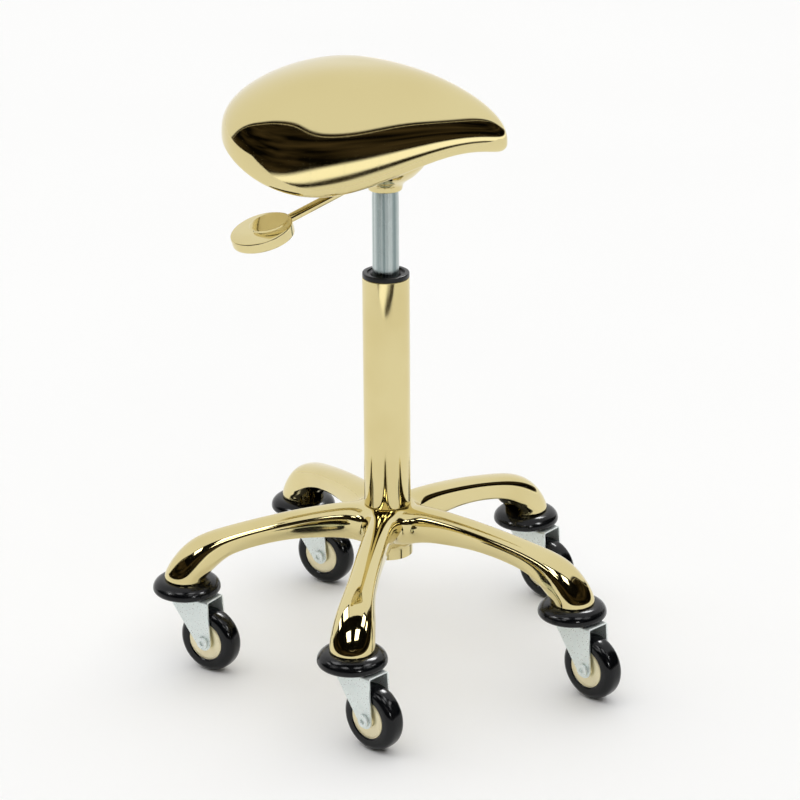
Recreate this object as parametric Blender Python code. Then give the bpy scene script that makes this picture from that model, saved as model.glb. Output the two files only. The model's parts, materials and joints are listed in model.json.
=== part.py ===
"""Saddle stool: gas-lift column on a cast five-leg base with hooded swivel casters.

Run with  blender --background --python part.py  or from Blender's text editor.
Units are metres and +Z is up.  The model is laid out about the column's axis and then
moved as a whole, so that the origin is on the floor under the middle of its footprint.
"""
import bmesh
import bpy
from math import acos, atan2, cos, hypot, pi, radians, sin, tan
from mathutils import Matrix, Vector

# ---------------------------------------------------------------- clearances
TOUCH = 0.0003            # gap kept between pieces that touch
RUN = 0.0003              # radial gap round a piece that turns or slides in another

# ---------------------------------------------------------------- casters
WHEEL_R = 0.035
TYRE_HALF_WIDTH = 0.0115
TYRE_DEPTH = 0.0142       # tread down to the disc's edge
WHEEL_STEPS = 20          # the tyre's flats lie along the disc's
DISC_HALF_WIDTH = 0.0105
WHEEL_HUB_R = 0.008
TRAIL = 0.0305            # stem axis to axle, level
FORK_ROOM = 0.0114        # wheel's top to the fork's top plate
FORK_SHEET = 0.0018
FORK_GAP = 0.0010         # tyre side to cheek
FORK_EYE_R = 0.0092
FORK_WELL = 0.002         # tyre's tread to the fork's web
FORK_LEAD = 0.0175        # top plate ahead of the stem axis
FORK_TAIL = 0.0065        # top plate behind the axle
AXLE_R = 0.004
BOLT_HEAD_R = 0.0068
BOLT_HEAD_HEIGHT = 0.0028
NUT_R = 0.0075
NUT_HEIGHT = 0.0035
STEM_R = 0.0055
STEM_HEAD_R = 0.0090
STEM_HEAD_HEIGHT = 0.003
STEM_HEIGHT = 0.022       # stem inside the foot
HOOD_GAP = 0.0006         # fork to hood
HOOD_R = 0.03645
HOOD_HEIGHT = 0.0154
HOOD_ROLL = 0.0046        # hood's lower edge to its widest line
TRAIL_HEADINGS = [radians(v) for v in (-44.0, -46.3, -40.0, -32.7, -33.3)]

# ---------------------------------------------------------------- base
CASTER_CIRCLE = 0.2189    # column axis to caster stem
LEG_PHASE = radians(-99.5)        # heading of the front leg
LEG_HALF_WIDTH = 0.0155
LEG_RISE = 0.075          # foot's underside to the crown at the hub
LEG_DEPTH = 0.0375        # depth of a leg where it leaves the hub
LEG_ROOT = 0.0192         # hub's side to the first full section of a leg
FOOT_BEND = 0.046         # stem axis back to where a leg bends down
FOOT_SOLE = 0.005         # upright band at a foot's lower edge
HUB_WALL = 0.0018         # hub's outside beyond the column's
HUB_SINK = 0.0025         # hub's top below the legs' crown
HUB_RISE = 0.0155         # hub's underside above the feet
FOOT_R = 0.0252
BOSS_R = 0.0095           # stem boss inside the hollow foot
FOOT_HOLLOW = 0.024       # height of the hollow
FOOT_HOLLOW_HALF_WIDTH = 0.0135
BASE_SMOOTHING = 1        # subdivisions of the casting's cage

# ---------------------------------------------------------------- column and lift
TUBE_R = 0.025
TUBE_WALL = 0.0022
TUBE_LENGTH = 0.255       # above the hub
SPIGOT_STEP = 0.0038      # swaged lower end, smaller than the tube by this much
SPIGOT_WALL = 0.0020
END_PLATE = 0.004
BUSHING_LIP = 0.005
BUSHING_DEPTH = 0.075
CYLINDER_R = 0.014
CYLINDER_WALL = 0.0018
CYLINDER_HIDDEN = 0.202   # cylinder inside the column at rest
CYLINDER_SHOWN = 0.095    # column's top to the mechanism's collar at rest
TAPER_STEP = 0.0007       # cylinder's taper, on the radius
TAPER_LENGTH = 0.022
ROD_R = 0.005
PISTON_DROP = 0.097       # column's top to the piston's top
PISTON_HEIGHT = 0.016
BUFFER_HEIGHT = 0.014
RACE_HEIGHT = 0.0025
CAGE_HEIGHT = 0.0045
CLIP_HEIGHT = 0.0012

# ---------------------------------------------------------------- mechanism
COLLAR_WALL = 0.0038      # collar's outside beyond the cylinder's
COLLAR_HEIGHT = 0.012
FUNNEL_R = 0.0465
FUNNEL_HEIGHT = 0.0554    # collar's rim to the face that carries the seat
FLANGE_R = 0.058
FLANGE_HEIGHT = 0.005
HOUSING_WALL = 0.004
BUTTON_R = 0.0025
BUTTON_LENGTH = 0.014

# ---------------------------------------------------------------- lever
LEVER_R = 0.0047
LEVER_HEADING = radians(215)
LEVER_DROP = radians(15.4)
LEVER_PIVOT = 0.024       # column axis to pivot pin, level
LEVER_LIFT = 0.0223       # collar's rim to the lever's line at the column axis
LEVER_REACH = 0.120       # column axis to the paddle's edge, level
PIVOT_PIN_R = 0.002
LUG_WIDTH = 0.005
PADDLE_R = 0.0325
PADDLE_WALL = 0.0020      # rod's side to the paddle's faces
PADDLE_PAD_R = 0.0200     # raised round pad on the paddle
PADDLE_PAD_RISE = 0.0012
PADDLE_SOCKET = 0.012     # depth of the rod in the paddle

# ---------------------------------------------------------------- seat
SEAT_YAW = -0.265         # heading of the nose
SEAT_SHIFT = -0.0185      # seat's middle, along the nose, from the column
SEAT_FRONT = 0.1475
SEAT_REAR = 0.1515
SEAT_HALF_WIDTH = 0.140   # before the nose taper
NOSE_TAPER = 0.66
NOSE_POWER = 1.1
CROWN_RISE = 0.133        # collar's rim to the dome's middle
CROWN_SLOPE = -0.044
CROWN_DIP = -0.91         # curvature along the nose line, per metre
DOME_POWER = 2.5
RIM_RISE = 0.0465         # collar's rim to the mean height of the seat's widest line
RIM_WAVES = (0.0050, 0.0166, -0.0075, -0.0038)    # that line's cosine waves
RIM_ROLL = 0.0075
SEAT_WALL = 0.0040
PAN_THICKNESS = 0.0100
PAN_INSET = 0.0050        # shell's inner face to the pan's edge
SEAT_BOLTS = 4
SEAT_BOLT_CIRCLE = 0.0520
SEAT_BOLT_R = 0.003
SEAT_BOLT_HEAD_R = 0.0048
SEAT_BOLT_HEAD = 0.003
SEAT_BOLT_GRIP = 0.0085   # length of bolt inside the pan

# ---------------------------------------------------------------- sizes that follow
DISC_R = WHEEL_R - TYRE_DEPTH
FORK_TOP = 2 * WHEEL_R + FORK_ROOM + FORK_SHEET
CHEEK_INNER = TYRE_HALF_WIDTH + FORK_GAP
CHEEK_OUTER = CHEEK_INNER + FORK_SHEET
HOOD_BOTTOM = FORK_TOP + HOOD_GAP
FOOT_BOTTOM = HOOD_BOTTOM + HOOD_HEIGHT + TOUCH
LEG_TOP = FOOT_BOTTOM + LEG_RISE
HUB_TOP = LEG_TOP - HUB_SINK
HUB_BOTTOM = FOOT_BOTTOM + HUB_RISE
HUB_R = TUBE_R + HUB_WALL
SPIGOT_R = TUBE_R - SPIGOT_STEP
SPIGOT_BORE = SPIGOT_R - SPIGOT_WALL
SPIGOT_BOTTOM = HUB_BOTTOM + 0.002
TUBE_BOTTOM = HUB_TOP + TOUCH
TUBE_TOP = TUBE_BOTTOM + TUBE_LENGTH
CYLINDER_BOTTOM = TUBE_TOP - CYLINDER_HIDDEN
CYLINDER_BORE = CYLINDER_R - CYLINDER_WALL
COLLAR_BOTTOM = TUBE_TOP + CYLINDER_SHOWN
CYLINDER_TOP = COLLAR_BOTTOM + COLLAR_HEIGHT
FLANGE_TOP = COLLAR_BOTTOM + FUNNEL_HEIGHT
LEVER_Z = COLLAR_BOTTOM + LEVER_LIFT
PIVOT_Z = LEVER_Z - LEVER_PIVOT * tan(LEVER_DROP)
BUTTON_TOP = LEVER_Z - LEVER_R / cos(LEVER_DROP) - BUTTON_R * tan(LEVER_DROP) - TOUCH
PAN_BOTTOM = FLANGE_TOP + TOUCH
LEGS = len(TRAIL_HEADINGS)

GOLD = (0.80, 0.72, 0.45)
ZINC = (0.62, 0.66, 0.65)
BRIGHT = (0.85, 0.87, 0.88)
STEEL = (0.55, 0.56, 0.58)
BLACK = (0.012, 0.013, 0.015)


# ================================================================ helpers
def clear_scene():
    for old in list(bpy.data.objects):
        bpy.data.objects.remove(old, do_unlink=True)


def material(name, colour, roughness, metallic):
    """A Principled material, made once for each name."""
    found = bpy.data.materials.get(name)
    if found:
        return found
    made = bpy.data.materials.new(name)
    made.use_nodes = True
    shader = made.node_tree.nodes["Principled BSDF"]
    shader.inputs["Base Color"].default_value = (*colour, 1.0)
    shader.inputs["Roughness"].default_value = roughness
    shader.inputs["Metallic"].default_value = metallic
    made.diffuse_color = (*colour, 1.0)
    return made


def gold():
    return material("gold_plate", GOLD, 0.08, 1.0)


def zinc():
    return material("zinc_tube", ZINC, 0.35, 1.0)


def bright_zinc():
    return material("bright_zinc", BRIGHT, 0.25, 1.0)


def steel():
    return material("bare_steel", STEEL, 0.3, 1.0)


def black_plastic():
    return material("black_plastic", BLACK, 0.25, 0.0)


def rubber():
    return material("black_rubber", BLACK, 0.5, 0.0)


def finish(bm, name, look, sharp=radians(35)):
    """Turn a bmesh into a named object with one material, smooth between its sharp edges."""
    bmesh.ops.remove_doubles(bm, verts=bm.verts, dist=1e-7)
    bmesh.ops.recalc_face_normals(bm, faces=bm.faces)
    mesh = bpy.data.meshes.new(name)
    bm.to_mesh(mesh)
    bm.free()
    mesh.shade_smooth()
    mesh.set_sharp_from_angle(angle=sharp)
    mesh.materials.append(look)
    made = bpy.data.objects.new(name, mesh)
    bpy.context.scene.collection.objects.link(made)
    return made


def turned(name, profile, look, steps=24, matrix=None):
    """Spin a profile of (radius, height) points about Z.

    A profile that starts and ends on the axis makes a body with no hole, any other a ring.
    """
    bm = bmesh.new()
    points = [bm.verts.new((r, 0.0, z)) for r, z in profile]
    pairs = list(zip(points, points[1:]))
    if profile[0][0] > 0.0:
        pairs.append((points[-1], points[0]))
    edges = [bm.edges.new(pair) for pair in pairs]
    bmesh.ops.spin(bm, geom=points + edges, cent=(0, 0, 0), axis=(0, 0, 1), dvec=(0, 0, 0),
                   angle=2 * pi, steps=steps, use_merge=True, use_duplicate=False)
    bmesh.ops.remove_doubles(bm, verts=bm.verts, dist=1e-6)
    if matrix:
        bmesh.ops.transform(bm, matrix=matrix, verts=bm.verts)
    return finish(bm, name, look)


def prism(name, outline, low, high, look, matrix=None):
    """An outline in X and Y extruded from one height to another."""
    bm = bmesh.new()
    face = bm.faces.new([bm.verts.new((x, y, low)) for x, y in outline])
    grown = bmesh.ops.extrude_face_region(bm, geom=[face])
    top = [part for part in grown["geom"] if isinstance(part, bmesh.types.BMVert)]
    bmesh.ops.translate(bm, verts=top, vec=(0, 0, high - low))
    if matrix:
        bmesh.ops.transform(bm, matrix=matrix, verts=bm.verts)
    return finish(bm, name, look)


def block(name, low, high, look, matrix=None):
    corners = [(low[0], low[1]), (high[0], low[1]), (high[0], high[1]), (low[0], high[1])]
    return prism(name, corners, low[2], high[2], look, matrix)


def rod_profile(radius, low, high):
    return [(0, low), (radius, low), (radius, high), (0, high)]


def arc(cx, cy, radius, start, end, count):
    """Points on an arc, both ends included."""
    step = (end - start) / (count - 1)
    return [(cx + radius * cos(start + step * i), cy + radius * sin(start + step * i))
            for i in range(count)]


def boolean(target, other, operation):
    """Add or take away another object, which becomes a hidden cutter."""
    other.hide_render = True
    other.display_type = 'WIRE'
    step = target.modifiers.new(operation.lower() + "_" + other.name, 'BOOLEAN')
    step.operation = operation
    step.object = other
    step.solver = 'EXACT'


def place(piece, location=(0, 0, 0), turn=0.0, parent=None):
    piece.location = location
    piece.rotation_euler = (0, 0, turn)
    piece.parent = parent
    return piece


def empty(name, location=(0, 0, 0), turn=0.0, parent=None):
    made = bpy.data.objects.new(name, None)
    bpy.context.scene.collection.objects.link(made)
    return place(made, location, turn, parent)


# ================================================================ base
def leg_stations():
    """Crown point, belly point (radius, height), half width and roundness along a leg."""
    slim = LEG_HALF_WIDTH
    foot_out = CASTER_CIRCLE + FOOT_R
    foot_in = CASTER_CIRCLE - FOOT_R
    root = HUB_R + LEG_ROOT
    bend = CASTER_CIRCLE - FOOT_BEND
    under_bend = bend - 0.016
    return [
        ((root, LEG_TOP), (root, LEG_TOP - LEG_DEPTH), slim, 0.0),
        (((root + bend) / 2, LEG_TOP - LEG_RISE * 0.09),
         ((root + under_bend) / 2, LEG_TOP - LEG_RISE * 0.42), slim, 0.0),
        ((bend, LEG_TOP - LEG_RISE * 0.26), (under_bend, LEG_TOP - LEG_RISE * 0.56),
         slim * 1.03, 0.1),
        ((bend + 0.040, LEG_TOP - LEG_RISE * 0.40), (under_bend + 0.019, LEG_TOP - LEG_RISE * 0.71),
         slim + (FOOT_R - slim) * 0.5, 0.5),
        ((foot_out - 0.009, LEG_TOP - LEG_RISE * 0.71), (foot_in - 0.006, LEG_TOP - LEG_RISE * 0.87),
         FOOT_R * 0.97, 0.85),
        ((foot_out, FOOT_BOTTOM + FOOT_SOLE), (foot_in, FOOT_BOTTOM + FOOT_SOLE), FOOT_R, 1.0),
        ((foot_out, FOOT_BOTTOM), (foot_in, FOOT_BOTTOM), FOOT_R, 1.0),
    ]


def leg_ring(station):
    """Ten points round a leg, from the crown down one side to the belly and up the other."""
    (crown_x, crown_z), (belly_x, belly_z), half, roundness = station
    depth = hypot(crown_x - belly_x, crown_z - belly_z)
    bar = [(0.0, 1.0), (0.58, 1.0 - 0.0012 / depth), (1.0, 1.0 - 0.0080 / depth),
           (0.84, 0.03), (0.42, 0.0), (0.0, 0.0)]
    ring = []
    for i, (side, rise) in enumerate(bar):
        turn = pi * i / 5
        side += (sin(turn) - side) * roundness
        rise += (0.5 + 0.5 * cos(turn) - rise) * roundness
        x = belly_x + (crown_x - belly_x) * rise
        z = belly_z + (crown_z - belly_z) * rise
        ring.append((x, side * half, z))
    return ring + [(x, -y, z) for x, y, z in ring[4:0:-1]]


def bridge(bm, ring_a, ring_b):
    """Quads between two closed rings with the same number of points."""
    for i in range(len(ring_a)):
        j = (i + 1) % len(ring_a)
        bm.faces.new((ring_a[i], ring_a[j], ring_b[j], ring_b[i]))


def crease_ring(bm, layer, ring, amount):
    for i in range(len(ring)):
        bm.edges.get((ring[i], ring[(i + 1) % len(ring)]))[layer] = amount


def star_cage():
    """Control cage of the casting: a hub and five legs of quads, with creased ridges."""
    bm = bmesh.new()
    crease = bm.edges.layers.float.new("crease_edge")
    columns = 6 * LEGS
    step = 2 * pi / columns
    swell = 6 / (4 + 2 * cos(step))       # a smoothed ring of points shrinks by this much

    def hub_ring(radius, height):
        size = radius * swell
        return [bm.verts.new((size * cos(step * i), size * sin(step * i), height))
                for i in range(columns)]

    bore_r = SPIGOT_R + TOUCH
    bore_top = hub_ring(bore_r, HUB_TOP)
    bore_bottom = hub_ring(bore_r, HUB_BOTTOM)
    rim = hub_ring(HUB_R, HUB_TOP)
    neck = hub_ring(HUB_R, LEG_TOP - LEG_DEPTH - 0.007)
    base_ring = hub_ring(HUB_R, HUB_BOTTOM)
    for ring_a, ring_b in ((bore_top, bore_bottom), (rim, bore_top), (bore_bottom, base_ring),
                           (base_ring, neck)):
        bridge(bm, ring_a, ring_b)
    for ring in (bore_top, bore_bottom, base_ring):
        crease_ring(bm, crease, ring, 1.0)
    crease_ring(bm, crease, rim, 0.6)

    crotches = []
    for k in range(LEGS):
        heading = step * (6 * k + 3)
        out = HUB_R + 0.0097
        crotches.append([bm.verts.new((out * cos(heading), out * sin(heading), height))
                         for height in (LEG_TOP - 0.010, LEG_TOP - LEG_DEPTH + 0.004)])

    for k in range(LEGS):
        heading = Matrix.Rotation(step * 6 * k, 4, 'Z')
        rings = [[bm.verts.new(heading @ Vector(point)) for point in leg_ring(station)]
                 for station in leg_stations()]
        for ring_a, ring_b in zip(rings, rings[1:]):
            bridge(bm, ring_b, ring_a)
        sole = rings[-1]
        for corners in ((0, 1, 9), (9, 1, 2, 8), (8, 2, 3, 7), (7, 3, 4, 6), (6, 4, 5)):
            bm.faces.new([sole[corner] for corner in corners])
        crease_ring(bm, crease, sole, 0.9)
        for ring_a, ring_b in zip(rings[:4], rings[1:5]):
            for corner, amount in ((2, 0.55), (8, 0.55), (3, 0.45), (7, 0.45)):
                bm.edges.get((ring_a[corner], ring_b[corner]))[crease] = amount
        first = rings[0]
        for side in (1, -1):
            at = [(6 * k + side * i) % columns for i in range(4)]
            high, low = crotches[k if side > 0 else (k - 1) % LEGS]
            crown = [first[side * i % 10] for i in (0, 1, 2)]
            belly = [first[side * i % 10] for i in (5, 4, 3)]
            for corners in (
                    (rim[at[0]], rim[at[1]], crown[1], crown[0]),
                    (rim[at[1]], rim[at[2]], crown[2], crown[1]),
                    (rim[at[2]], rim[at[3]], high, crown[2]),
                    (crown[2], high, low, belly[2]),
                    (belly[2], low, neck[at[3]], neck[at[2]]),
                    (belly[1], belly[2], neck[at[2]], neck[at[1]]),
                    (belly[0], belly[1], neck[at[1]], neck[at[0]])):
                bm.faces.new(corners)
    return bm


def foot_cutters(number):
    """The hollow that opens a foot towards the hub, with its stem boss, and the stem's bore."""
    half = FOOT_HOLLOW_HALF_WIDTH
    below = FOOT_BOTTOM - 0.008
    outline = [(half, -0.008)] + arc(0, FOOT_HOLLOW - half, half, 0, pi, 9) + [(-half, -0.008)]
    upright = Matrix(((0, 0, 1, 0), (1, 0, 0, 0), (0, 1, 0, FOOT_BOTTOM), (0, 0, 0, 1)))
    hollow = prism("foot_hollow_cutter_%d" % number, outline,
                   CASTER_CIRCLE - FOOT_R - 0.012, CASTER_CIRCLE + 0.002, gold(), upright)
    stem = Matrix.Translation((CASTER_CIRCLE, 0, 0))
    boss = turned("stem_boss_cutter_%d" % number,
                  rod_profile(BOSS_R, below - 0.002, FOOT_BOTTOM + 0.040), gold(), 16, stem)
    bore = turned("stem_bore_cutter_%d" % number,
                  rod_profile(STEM_R + TOUCH, below, FOOT_BOTTOM + STEM_HEIGHT + TOUCH),
                  gold(), 16, stem)
    boolean(hollow, boss, 'DIFFERENCE')
    return hollow, boss, bore


def build_base(frame):
    base = place(finish(star_cage(), "star_base", gold()), turn=LEG_PHASE, parent=frame)
    smooth = base.modifiers.new("smooth", 'SUBSURF')
    smooth.levels = BASE_SMOOTHING
    smooth.render_levels = BASE_SMOOTHING
    for k in range(LEGS):
        hollow, boss, bore = foot_cutters(k + 1)
        for cutter in (hollow, boss, bore):
            place(cutter, turn=LEG_PHASE + 2 * pi * k / LEGS, parent=frame)
        boolean(base, hollow, 'DIFFERENCE')
        boolean(base, bore, 'DIFFERENCE')


# ================================================================ column and lift
def build_column(frame):
    bore = TUBE_R - TUBE_WALL
    tube = turned("column_tube", [
        (SPIGOT_R, SPIGOT_BOTTOM), (SPIGOT_R, TUBE_BOTTOM), (TUBE_R, TUBE_BOTTOM),
        (TUBE_R, TUBE_TOP), (bore, TUBE_TOP), (bore, TUBE_BOTTOM + 0.006),
        (SPIGOT_BORE, TUBE_BOTTOM), (SPIGOT_BORE, SPIGOT_BOTTOM + END_PLATE),
        (ROD_R + RUN, SPIGOT_BOTTOM + END_PLATE), (ROD_R + RUN, SPIGOT_BOTTOM)], gold(), 24)
    sleeve = bore - TOUCH
    slide = CYLINDER_R + RUN
    low = TUBE_TOP + TOUCH
    high = low + BUSHING_LIP
    lip = TUBE_R - 0.0002
    bushing = turned("column_bushing", [
        (sleeve, TUBE_TOP - BUSHING_DEPTH), (sleeve, low), (lip, low), (lip, high - 0.0012),
        (lip - 0.0012, high), (lip - 0.0043, high), (lip - 0.0054, high - 0.0022),
        (slide + 0.0020, high - 0.0022), (slide, high - 0.0040),
        (slide, TUBE_TOP - BUSHING_DEPTH)], black_plastic(), 24)
    for piece in (tube, bushing):
        place(piece, parent=frame)


def washer(name, inner, outer, low, height, look):
    return turned(name, [(inner, low), (outer, low), (outer, low + height),
                         (inner, low + height)], look, 16)


def build_bearing(frame):
    """Thrust bearing, bump stop and clip round the rod's lower end."""
    bore = ROD_R + RUN
    outer = SPIGOT_BORE - 0.004
    low = SPIGOT_BOTTOM + END_PLATE + TOUCH
    cage_low = low + RACE_HEIGHT + TOUCH
    high = cage_low + CAGE_HEIGHT + TOUCH
    buffer_low = high + RACE_HEIGHT + TOUCH
    buffer_high = buffer_low + BUFFER_HEIGHT
    clip_low = SPIGOT_BOTTOM - TOUCH - CLIP_HEIGHT
    pieces = [
        washer("bearing_lower_race", bore, outer, low, RACE_HEIGHT, steel()),
        washer("bearing_ball_cage", bore + 0.001, outer - 0.001, cage_low, CAGE_HEIGHT, steel()),
        washer("bearing_upper_race", bore, outer, high, RACE_HEIGHT, steel()),
        washer("rod_clip", bore - 0.001, ROD_R + 0.004, clip_low, CLIP_HEIGHT, steel()),
        turned("rubber_buffer", [
            (bore, buffer_low), (outer, buffer_low), (outer, buffer_low + BUFFER_HEIGHT * 0.6),
            (outer - 0.003, buffer_high), (bore, buffer_high)], rubber(), 16)]
    for piece in pieces:
        place(piece, parent=frame)


def build_lift(frame):
    """Gas spring: the rod turns in the column and the cylinder slides on the rod."""
    clip_low = SPIGOT_BOTTOM - TOUCH - CLIP_HEIGHT
    groove_low = clip_low - TOUCH
    groove_high = SPIGOT_BOTTOM
    piston_r = CYLINDER_BORE - RUN
    piston_top = TUBE_TOP - PISTON_DROP
    rod = turned("piston_rod", [
        (0, groove_low - 0.0025), (ROD_R - 0.0006, groove_low - 0.0025),
        (ROD_R, groove_low - 0.0019), (ROD_R, groove_low), (ROD_R - 0.001, groove_low),
        (ROD_R - 0.001, groove_high), (ROD_R, groove_high),
        (ROD_R, piston_top - PISTON_HEIGHT), (piston_r, piston_top - PISTON_HEIGHT),
        (piston_r, piston_top), (0, piston_top)], steel(), 16)
    guide = washer("cylinder_guide", ROD_R + RUN, CYLINDER_BORE - TOUCH,
                   CYLINDER_BOTTOM + 0.001, 0.019, black_plastic())
    neck = CYLINDER_TOP - TAPER_LENGTH
    tip = CYLINDER_R - TAPER_STEP
    hole = BUTTON_R + RUN
    cylinder = turned("gas_cylinder", [
        (CYLINDER_BORE, CYLINDER_BOTTOM), (CYLINDER_R, CYLINDER_BOTTOM), (CYLINDER_R, neck),
        (tip, CYLINDER_TOP - 0.001), (tip - 0.001, CYLINDER_TOP), (hole, CYLINDER_TOP),
        (hole, CYLINDER_TOP - 0.004), (CYLINDER_BORE - 0.002, CYLINDER_TOP - 0.004),
        (CYLINDER_BORE, CYLINDER_TOP - 0.008)], zinc(), 24)
    button = turned("release_pin", rod_profile(BUTTON_R, BUTTON_TOP - BUTTON_LENGTH, BUTTON_TOP),
                    steel(), 16)
    for piece in (rod, guide, cylinder, button):
        place(piece, parent=frame)


# ================================================================ mechanism and lever
def seat_bolt_place(number):
    angle = SEAT_YAW + pi / SEAT_BOLTS + 2 * pi * number / SEAT_BOLTS
    return Matrix.Translation((SEAT_BOLT_CIRCLE * cos(angle), SEAT_BOLT_CIRCLE * sin(angle), 0))


def lever_line():
    """Turns +X to the lever's line, with the origin on the pivot."""
    return Matrix.Rotation(LEVER_HEADING, 4, 'Z') @ Matrix.Rotation(LEVER_DROP, 4, 'Y')


def across_lever():
    """Turns +Z to the pivot pin's axis, with the origin on the pivot."""
    return Matrix.Rotation(LEVER_HEADING, 4, 'Z') @ Matrix.Rotation(pi / 2, 4, 'X')


def build_housing(frame):
    low = COLLAR_BOTTOM
    taper = TAPER_STEP / (TAPER_LENGTH - 0.001)
    bore_low = CYLINDER_R + TOUCH - taper * (COLLAR_BOTTOM - CYLINDER_TOP + TAPER_LENGTH)
    bore_high = CYLINDER_R - TAPER_STEP + TOUCH
    collar = CYLINDER_R + COLLAR_WALL
    under = FLANGE_TOP - FLANGE_HEIGHT
    inside = FUNNEL_R - HOUSING_WALL
    housing = turned("mechanism_housing", [
        (bore_low, low), (collar - 0.0015, low), (collar, low + 0.0015),
        (collar + 0.0012, low + 0.0060), (collar + 0.0047, low + 0.0095),
        (FUNNEL_R - 0.0145, low + 0.0165), (FUNNEL_R - 0.0045, low + 0.0270),
        (FUNNEL_R - 0.0010, low + 0.0360), (FUNNEL_R, under), (FLANGE_R, under),
        (FLANGE_R, FLANGE_TOP), (inside, FLANGE_TOP), (inside - 0.001, low + 0.0370),
        (inside - 0.0045, low + 0.0290), (inside - 0.0130, low + 0.0200),
        (collar + 0.0005, CYLINDER_TOP), (bore_high, CYLINDER_TOP)], gold(), 28)
    pivot = Matrix.Translation((LEVER_PIVOT * cos(LEVER_HEADING),
                                LEVER_PIVOT * sin(LEVER_HEADING), PIVOT_Z))
    side = LEVER_R + 0.0008
    for name, sign in (("lug_left", 1), ("lug_right", -1)):
        near, far = sorted((sign * side, sign * (side + LUG_WIDTH)))
        lug = block(name, (-0.0045, near, -0.0042), (0.0045, far, 0.0045), gold(),
                    pivot @ Matrix.Rotation(LEVER_HEADING, 4, 'Z'))
        boolean(housing, place(lug, parent=frame), 'UNION')
    reach = LEVER_R + 0.0040
    slot = block("lever_slot_cutter", (-0.0095, -side, -reach), (0.040, side, reach), gold(),
                 pivot @ lever_line())
    pin_hole = turned("pin_hole_cutter", rod_profile(PIVOT_PIN_R + TOUCH, -0.020, 0.020), gold(),
                      16, pivot @ across_lever())
    cutters = [slot, pin_hole]
    for number in range(SEAT_BOLTS):
        cutters.append(turned("flange_hole_cutter_%d" % (number + 1),
                              rod_profile(SEAT_BOLT_R + TOUCH, under - 0.002, FLANGE_TOP + 0.002),
                              gold(), 12, seat_bolt_place(number)))
    for cutter in cutters:
        boolean(housing, place(cutter, parent=frame), 'DIFFERENCE')
    place(housing, parent=frame)


def build_lever(frame):
    """Rod, paddle and pin, carried by an empty on the pivot."""
    pivot = empty("lever_pivot", (LEVER_PIVOT * cos(LEVER_HEADING),
                                  LEVER_PIVOT * sin(LEVER_HEADING), PIVOT_Z), parent=frame)
    line = lever_line()
    stretch = 1 / cos(LEVER_DROP)
    inner = -(LEVER_PIVOT + 0.003) * stretch
    edge = (LEVER_REACH - LEVER_PIVOT) * stretch
    along = line @ Matrix.Rotation(pi / 2, 4, 'Y')
    rod = turned("lever_rod", rod_profile(LEVER_R, inner, edge + PADDLE_SOCKET - TOUCH), gold(),
                 20, along)
    eye = turned("lever_eye_cutter", rod_profile(PIVOT_PIN_R + RUN, -0.010, 0.010), gold(), 16,
                 across_lever())
    boolean(rod, place(eye, parent=pivot), 'DIFFERENCE')
    pin_half = LEVER_R + 0.0008 + LUG_WIDTH
    pin = turned("lever_pivot_pin", rod_profile(PIVOT_PIN_R, -pin_half, pin_half), steel(), 16,
                 across_lever())
    half = LEVER_R + PADDLE_WALL
    centre = line @ Matrix.Translation((edge + PADDLE_R, 0, 0))
    paddle = turned("lever_paddle", [
        (0, -half), (PADDLE_R - 0.002, -half), (PADDLE_R, -half + 0.002),
        (PADDLE_R, half - 0.0015), (PADDLE_R - 0.0015, half), (0, half)], gold(), 28, centre)
    pad_shift = Matrix.Translation((-(PADDLE_R - PADDLE_PAD_R - 0.002), 0, 0))
    pad = turned("paddle_pad_cutter", [
        (0, 0), (PADDLE_PAD_R, 0), (PADDLE_PAD_R, half + PADDLE_PAD_RISE - 0.0006),
        (PADDLE_PAD_R - 0.0006, half + PADDLE_PAD_RISE), (0, half + PADDLE_PAD_RISE)], gold(), 22,
        centre @ pad_shift)
    socket = turned("paddle_socket_cutter",
                    rod_profile(LEVER_R + TOUCH, edge - 0.010, edge + PADDLE_SOCKET), gold(), 16,
                    along)
    boolean(paddle, place(pad, parent=pivot), 'UNION')
    boolean(paddle, place(socket, parent=pivot), 'DIFFERENCE')
    for piece in (rod, pin, paddle):
        place(piece, parent=pivot)


# ================================================================ casters
def tangent_point(point, centre, radius, side):
    """Where a line from a point touches a circle, on the given side."""
    dx = point[0] - centre[0]
    dy = point[1] - centre[1]
    angle = atan2(dy, dx) + side * acos(radius / hypot(dx, dy))
    return angle


def fork_outline(inset):
    """Side view of a fork as (x, z); the inset is taken off its top and leading edges."""
    axle = (TRAIL, WHEEL_R)
    lead = (-FORK_LEAD + inset, FORK_TOP - inset)
    tail = (TRAIL + FORK_TAIL + (0.02 if inset else 0.0), FORK_TOP - inset)
    if inset:
        start = tangent_point(lead, axle, FORK_EYE_R - inset, 1)
        foot = (axle[0] + (FORK_EYE_R - inset) * cos(start),
                axle[1] + (FORK_EYE_R - inset) * sin(start))
        past = (foot[0] + (foot[0] - lead[0]) * 0.5, foot[1] + (foot[1] - lead[1]) * 0.5)
        return [lead, past, (tail[0], past[1]), tail]
    start = tangent_point(lead, axle, FORK_EYE_R, 1)
    end = tangent_point(tail, axle, FORK_EYE_R, -1)
    return [lead] + arc(*axle, FORK_EYE_R, start, end + 2 * pi, 7) + [tail]


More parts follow.
